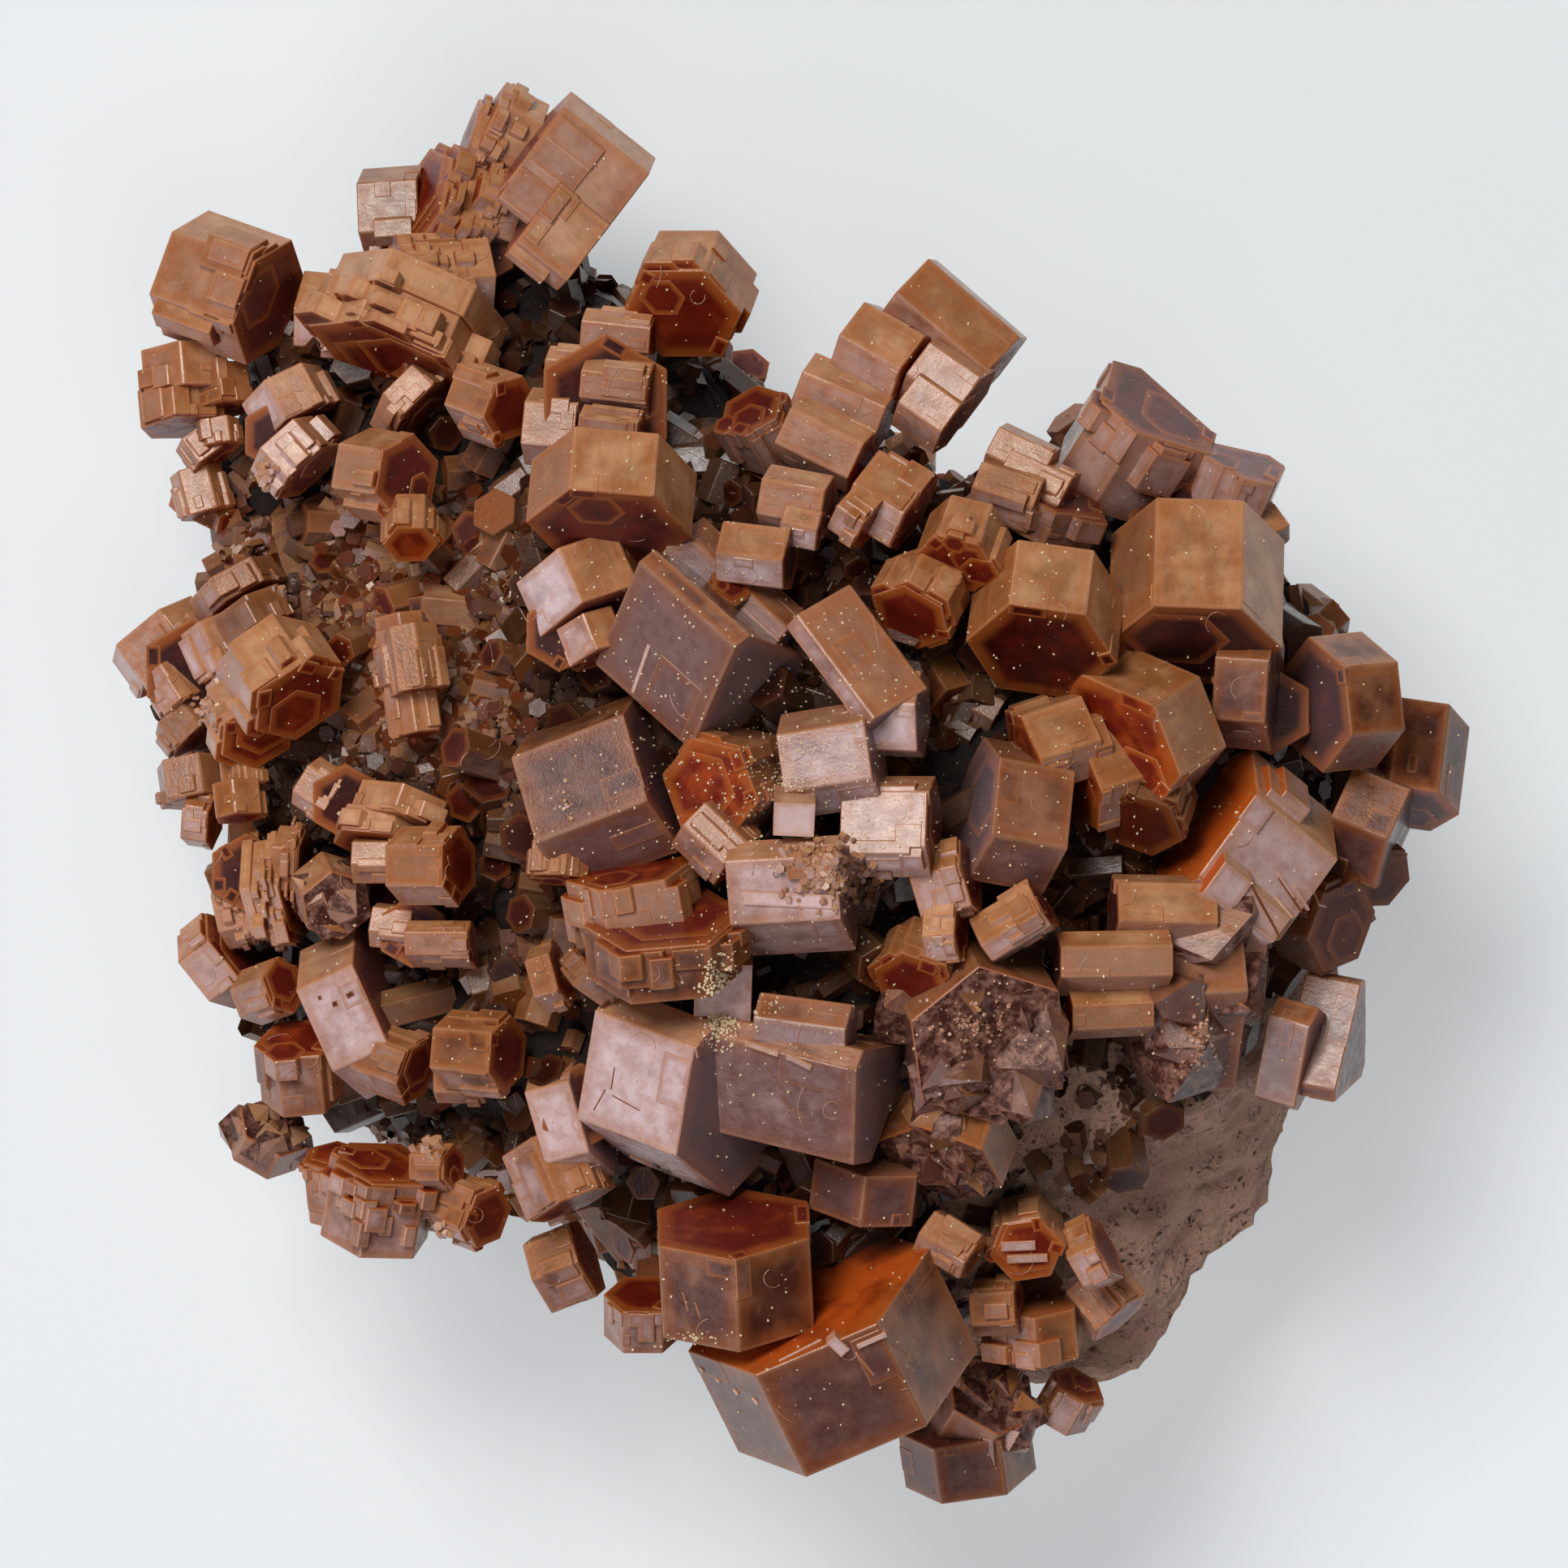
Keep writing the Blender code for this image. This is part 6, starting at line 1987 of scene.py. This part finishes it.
# Low glow on the crystals at the right darkens their ends: partly their own deep red, partly painted shade.
STYLES = {
    "top_large_crystal": (STEPPED, Tone(0.66, 0.22, 0.35, 0.5)),
    "top_left_column": (BLOCKY, Tone(0.62, 0.03, 0.40, 0.5)),
    "upper_hexagonal_crystal": (STEPPED, Tone(0.50, 0.00, 0.10, 0.45)),
    "upper_middle_cluster": (STEPPED, Tone(0.58, 0.02, 0.50, 0.5)),
    "upper_left_red_crystal": (STEPPED, Tone(0.55, 0.12, 0.35, 0.38)),
    "upper_left_tan_crystal": (BLOCKY, Tone(0.68, 0.05, 0.35, 0.35)),
    "left_upper_lavender_crystal": (STEPPED, Tone(0.52, 0.42, 0.80, 0.5)),
    "left_upper_red_crystal": (STEPPED, Tone(0.50, 0.02, 0.20, 0.38)),
    "upper_centre_red_crystal": (SMOOTH, Tone(0.46, 0.00, 0.10, 0.30)),
    "centre_left_lavender_crystal": (SMOOTH, Tone(0.50, 0.10, 0.88, 0.4)),
    "centre_mauve_crystal": (SMOOTH, Tone(0.03, 0.60, 0.35, 0.1)),
    "upper_right_light_pair": (SMOOTH, Tone(0.42, 0.15, 0.85, 0.2)),
    "upper_right_tan_crystal": (SMOOTH, Tone(0.45, 0.15, 0.30, 0.6)),
    "upper_right_long_crystal": (SMOOTH, Tone(0.42, 0.15, 0.35, 0.3)),
    "upper_right_red_hexagon": (STEPPED, Tone(0.45, 0.02, 0.20, 0.45)),
    "upper_right_peak": (STEPPED, Tone(0.50, 0.03, 0.20, 0.4)),
    "right_upper_red_crystal": (SMOOTH, Tone(0.45, 0.00, 0.10, 0.12)),
    "right_upper_tan_crystal": (SMOOTH, Tone(0.48, 0.00, 0.10, 0.05)),
    "right_orange_crystal": (STEPPED, Tone(0.42, 0.06, 0.28, 0.6)),
    "right_dark_hexagon": (SMOOTH, Tone(0.05, 0.25, 0.45, 0.0)),
    "right_edge_crystal": (SMOOTH, Tone(-0.12, 0.20, 0.20, 0.1)),
    "right_lavender_crystal": (STEPPED, Tone(0.62, 0.72, 0.80, 0.95)),
    "centre_top_mauve_crystal": (SMOOTH, Tone(0.30, 0.60, 0.40, 0.3)),
    "centre_white_crystal": (SMOOTH, Tone(0.45, 0.75, 0.80, 0.3)),
    "centre_light_crystal": (STEPPED, Tone(0.50, 0.40, 0.75, 0.5)),
    "centre_right_mauve_crystal": (SMOOTH, Tone(0.10, 0.50, 0.60, 0.12)),
    "centre_bright_crystal": (SMOOTH, Tone(0.50, 0.60, 0.40, 0.3)),
    "centre_right_small_crystal": (STEPPED, Tone(0.55, 0.05, 0.45, 0.4)),
    "lower_centre_mauve_crystal": (SMOOTH, Tone(0.12, 0.75, 0.80, 0.3)),
    "lower_centre_lavender_crystal": (SMOOTH, Tone(0.52, 0.70, 0.80, 0.2)),
    "right_lower_blocks": (SMOOTH, Tone(0.45, 0.04, 0.22, 0.25)),
    "right_lower_broken_crystal": (SHATTERED, Tone(0.18, 0.40, 0.30, 0.3)),
    "right_lower_laths": (SMOOTH, Tone(0.10, 0.50, 0.50, 0.2)),
    "lower_right_broken_crystal": (SHATTERED, Tone(0.10, 0.40, 0.25, 0.3)),
    "lower_underside_crystal": (SMOOTH, Tone(0.00, 0.40, 0.45, 0.1)),
    "lower_right_orange_crystal": (STEPPED, Tone(0.50, 0.05, 0.55, 0.6)),
    "bottom_right_blocks": (STEPPED, Tone(0.42, 0.05, 0.30, 0.4)),
    "bottom_large_crystal": (SMOOTH, Tone(-0.05, 0.25, 0.30, 0.9)),
    "bottom_orange_crystal": (SMOOTH, Tone(0.08, 0.10, 0.25, 0.50)),
    "bottom_edge_crystal": (SMOOTH, Tone(0.02, 0.30, 0.40, 0.1)),
    "left_tip_crystal": (STEPPED, Tone(0.60, 0.25, 0.55, 0.5)),
    "left_red_crystal": (STEPPED, Tone(0.58, 0.02, 0.30, 0.52)),
    "left_stacked_crystal": (BLOCKY, Tone(0.55, 0.03, 0.30, 0.5)),
    "left_pink_blocks": (STEPPED, Tone(0.70, 0.12, 0.45, 0.5)),
    "left_broken_crystal": (SHATTERED, Tone(0.50, 0.20, 0.40, 0.4)),
    "left_middle_blocks": (STEPPED, Tone(0.50, 0.03, 0.32, 0.5)),
    "left_lower_blocks": (STEPPED, Tone(0.48, 0.03, 0.35, 0.5)),
    "lower_left_lavender_crystal": (SMOOTH, Tone(0.50, 0.65, 0.75, 0.5)),
    "lower_left_edge_crystal": (STEPPED, Tone(0.40, 0.08, 0.35, 0.5)),
    "lower_left_orange_crystal": (STEPPED, Tone(0.30, 0.02, 0.28, 0.55)),
    "lower_left_red_crystal": (STEPPED, Tone(0.35, 0.03, 0.28, 0.45)),
    "bottom_left_orange_crystal": (BLOCKY, Tone(0.35, 0.03, 0.32, 0.55)),
    "centre_left_block": (SMOOTH, Tone(0.02, 0.30, 0.45, 0.3)),
    "centre_left_orange_crystal": (STEPPED, Tone(0.20, 0.04, 0.15, 0.5)),
    "centre_pink_crystal": (STEPPED, Tone(0.35, 0.25, 0.40, 0.6)),
}

# Crystals that differ from the rest of their group, and the hidden stems that join a group.
SPECIAL = {
    ("right_upper_tan_crystal", 1): (STEPPED, Tone(0.55, 0.12, 0.30, 0.3)),
    ("right_upper_tan_crystal", 2): (STEPPED, Tone(0.55, 0.25, 0.40, 0.3)),
    ("centre_left_orange_crystal", 1): (STEPPED, Tone(0.55, 0.00, 0.20, 0.62)),
    ("lower_underside_crystal", 1): (SHATTERED, Tone(0.15, 0.05, 0.20, 0.4)),
    ("bottom_edge_crystal", 1): (SHATTERED, Tone(0.35, 0.05, 0.20, 0.5)),
    ("rooted", 15): (SHATTERED, Tone(0.40, 0.15, 0.40, 0.6)),
}
STEM = (SMOOTH, Tone(0.1, 0.0, 0.0, 0.05))

WHITE_TONE = Tone(0.9, 0.70, 0.75, 0.5)
SHADE_TONE = Tone(0.45, 0.65, 0.70, 0.3)
PALE_TONE = Tone(0.75, 0.22, 0.45, 0.5)
RUBBLE_TONE = Tone(0.62, 0.25, 0.30, 0.6)
PINK_TONE = Tone(0.7, 0.40, 0.50, 0.5)
CLEAR_TONE = Tone(0.6, 0.0, 0.1, 0.9)
CRACK_TONE = Tone(-0.3, 0.0, 0.0, 0.0)
DUST_TONE = Tone(1.3, 0.35, 0.35, 0.5)
FIBRE_TONE = Tone(1.2, 0.7, 0.8, 0.5)
PLATES = (
    Plate((-7.9, 4.5), (-6.1, 6.8), 0.22, 0.06, WHITE_TONE),
    Plate((-0.5, -1.7), (1.5, -1.8), 1.7, 0.0, WHITE_TONE, 2.2),
    Plate((-4.4, -10.6), (-1.6, -10.7), 3.8, 0.0, SHADE_TONE, 0.2),
    Plate((24.2, -4.4), (25.2, -5.6), 0.16, 0.12, WHITE_TONE),
    Plate((25.0, -5.0), (25.9, -6.2), 0.14, 0.12, WHITE_TONE),
    Plate((24.0, -5.4), (25.0, -6.6), 0.12, 0.12, WHITE_TONE),
    Plate((26.0, -5.2), (26.6, -6.0), 0.14, 0.10, WHITE_TONE),
    Plate((0.2, -4.4), (2.4, -4.2), 0.5, 0.35, CLEAR_TONE),
    Plate((-2.0, -5.6), (2.4, -5.7), 0.7, 0.12, WHITE_TONE),
    Plate((-8.2, -13.9), (-8.6, -15.0), 0.09, 0.02, CRACK_TONE),
    Plate((-8.6, -15.0), (-9.5, -16.0), 0.08, 0.02, CRACK_TONE),
    Plate((-8.6, -15.4), (-6.9, -15.9), 0.07, 0.02, CRACK_TONE),
    Plate((-7.6, -18.3), (-6.4, -18.7), 0.6, 0.15, PINK_TONE),
    Plate((-0.7, -13.8), (-0.1, -15.1), 0.07, 0.02, CRACK_TONE),
    Plate((-0.1, -15.1), (0.3, -16.0), 0.06, 0.02, CRACK_TONE),
    Plate((-1.9, -12.7), (-0.2, -13.2), 0.3, 0.12, PINK_TONE),
    Plate((0.1, -13.3), (1.4, -13.8), 0.3, 0.15, PINK_TONE),
    Plate((-22.3, -10.9), (-22.0, -10.8), 0.3, 0.01, CRACK_TONE),
    Plate((-21.6, -10.5), (-21.2, -10.3), 0.3, 0.01, CRACK_TONE),
    Plate((-23.0, -10.6), (-22.8, -10.5), 0.25, 0.01, CRACK_TONE),
    Plate((10.7, -22.8), (12.4, -22.7), 0.5, 0.12, PINK_TONE),
    Plate((11.0, -23.4), (13.0, -23.3), 0.4, 0.2, PINK_TONE),
    Plate((-0.2, -28.4), (1.8, -27.2), 0.12, 0.08, WHITE_TONE),
    Plate((2.3, -27.1), (3.0, -27.9), 0.6, 0.2, WHITE_TONE),
    Plate((3.6, -27.6), (5.0, -26.9), 0.25, 0.15, WHITE_TONE),
    Plate((3.5, -27.8), (4.4, -29.1), 0.12, 0.02, CLEAR_TONE),
    Plate((-4.2, -28.8), (-3.9, -28.9), 0.25, 0.08, WHITE_TONE),
    Plate((-3.4, -29.3), (-3.1, -29.4), 0.2, 0.08, WHITE_TONE),
    Plate((-2.5, -29.8), (-2.2, -30.0), 0.22, 0.08, WHITE_TONE),
    Plate((-1.6, -30.2), (-1.2, -30.4), 0.2, 0.08, WHITE_TONE),
    Plate((-4.9, -24.9), (-4.8, -25.9), 0.1, 0.02, CLEAR_TONE),
    Plate((-4.3, -25.4), (-4.2, -26.2), 0.1, 0.02, CLEAR_TONE),
    Plate((22.8, -5.0), (24.6, -7.6), 0.15, 0.04, CRACK_TONE),
    Plate((24.2, -4.6), (25.6, -6.3), 0.12, 0.04, CRACK_TONE),
)
GRAINS = (
    Grains((-3.1, -10.7), (1.1, 2.4), 900, (0.06, 0.15), DUST_TONE, Part.DUST),
    Grains((-1.5, -11.2), (2.6, 1.2), 60, (0.05, 0.12), DUST_TONE, Part.DUST),
    Grains((2.2, -4.4), (2.6, 1.9), 260, (0.15, 0.5), RUBBLE_TONE),
    Grains((1.6, -3.8), (1.6, 1.2), 40, (0.15, 0.45), CLEAR_TONE),
    Grains((-4.5, -27.2), (2.4, 1.0), 50, (0.05, 0.11), DUST_TONE, Part.DUST),
    Grains((-17.5, -17.4), (1.3, 1.0), 45, (0.25, 0.6), PALE_TONE),
    Grains((-16.9, -22.1), (0.8, 0.9), 24, (0.25, 0.5), PALE_TONE),
    Grains((-25.6, 15.4), (0.9, 0.7), 26, (0.2, 0.45), PALE_TONE),
    Grains((-24.5, 9.8), (0.8, 0.9), 30, (0.2, 0.45), PALE_TONE),
    Grains((-28.8, 3.6), (0.8, 0.9), 30, (0.15, 0.4), PALE_TONE),
    Grains((-10.6, -1.0), (0.5, 1.2), 14, (0.1, 0.25), PALE_TONE),
    Grains((9.4, -11.8), (3.4, 1.6), 120, (0.05, 0.22), RUBBLE_TONE),
    Grains((20.4, -12.6), (1.8, 2.4), 80, (0.05, 0.22), RUBBLE_TONE),
    Grains((0.0, 0.0), (50.0, 50.0), 2600, (0.05, 0.12), DUST_TONE, Part.DUST),
)


def main() -> None:
    """Build the specimen and its surroundings."""
    crystal = CrystalFinish().material()
    rock = RockFinish().material()
    for name, crystals in CLUSTERS.items():
        Group(name, crystals, *STYLES[name]).build(crystal)
    coarse = Druse(760, (1.3, 2.7), 0.8, Tone(0.38, 0.00, 0.22, 0.40), bevelled_from=1.3)
    fine = [
        Druse(3200, (0.5, 1.3), 0.7, Tone(0.30, 0.00, 0.22, 0.35)),
        Druse(4200, (0.35, 1.0), 1.0, Tone(0.48, 0.02, 0.25, 0.40), (-20.0, 6.0, 12.0, 9.0)),
    ]
    Rock(ROOTED, coarse, fine).build(rock, crystal)
    FineDetail(PLATES, GRAINS, 260).build(crystal)
    Studio(
        (
            SoftBox("key", 124.0, 57.0, 3.0, (1.3, 1.3), 75.0, (1.0, 0.97, 0.94)),
            SoftBox("above", 300.0, 72.0, 3.0, (1.6, 1.6), 13.0, (1.0, 0.97, 0.94)),
            SoftBox("lower_left", 228.0, 36.0, 2.4, (1.2, 0.8), 15.0, (1.0, 0.95, 0.98)),
        )
    ).build()


if __name__ == "__main__":
    main()
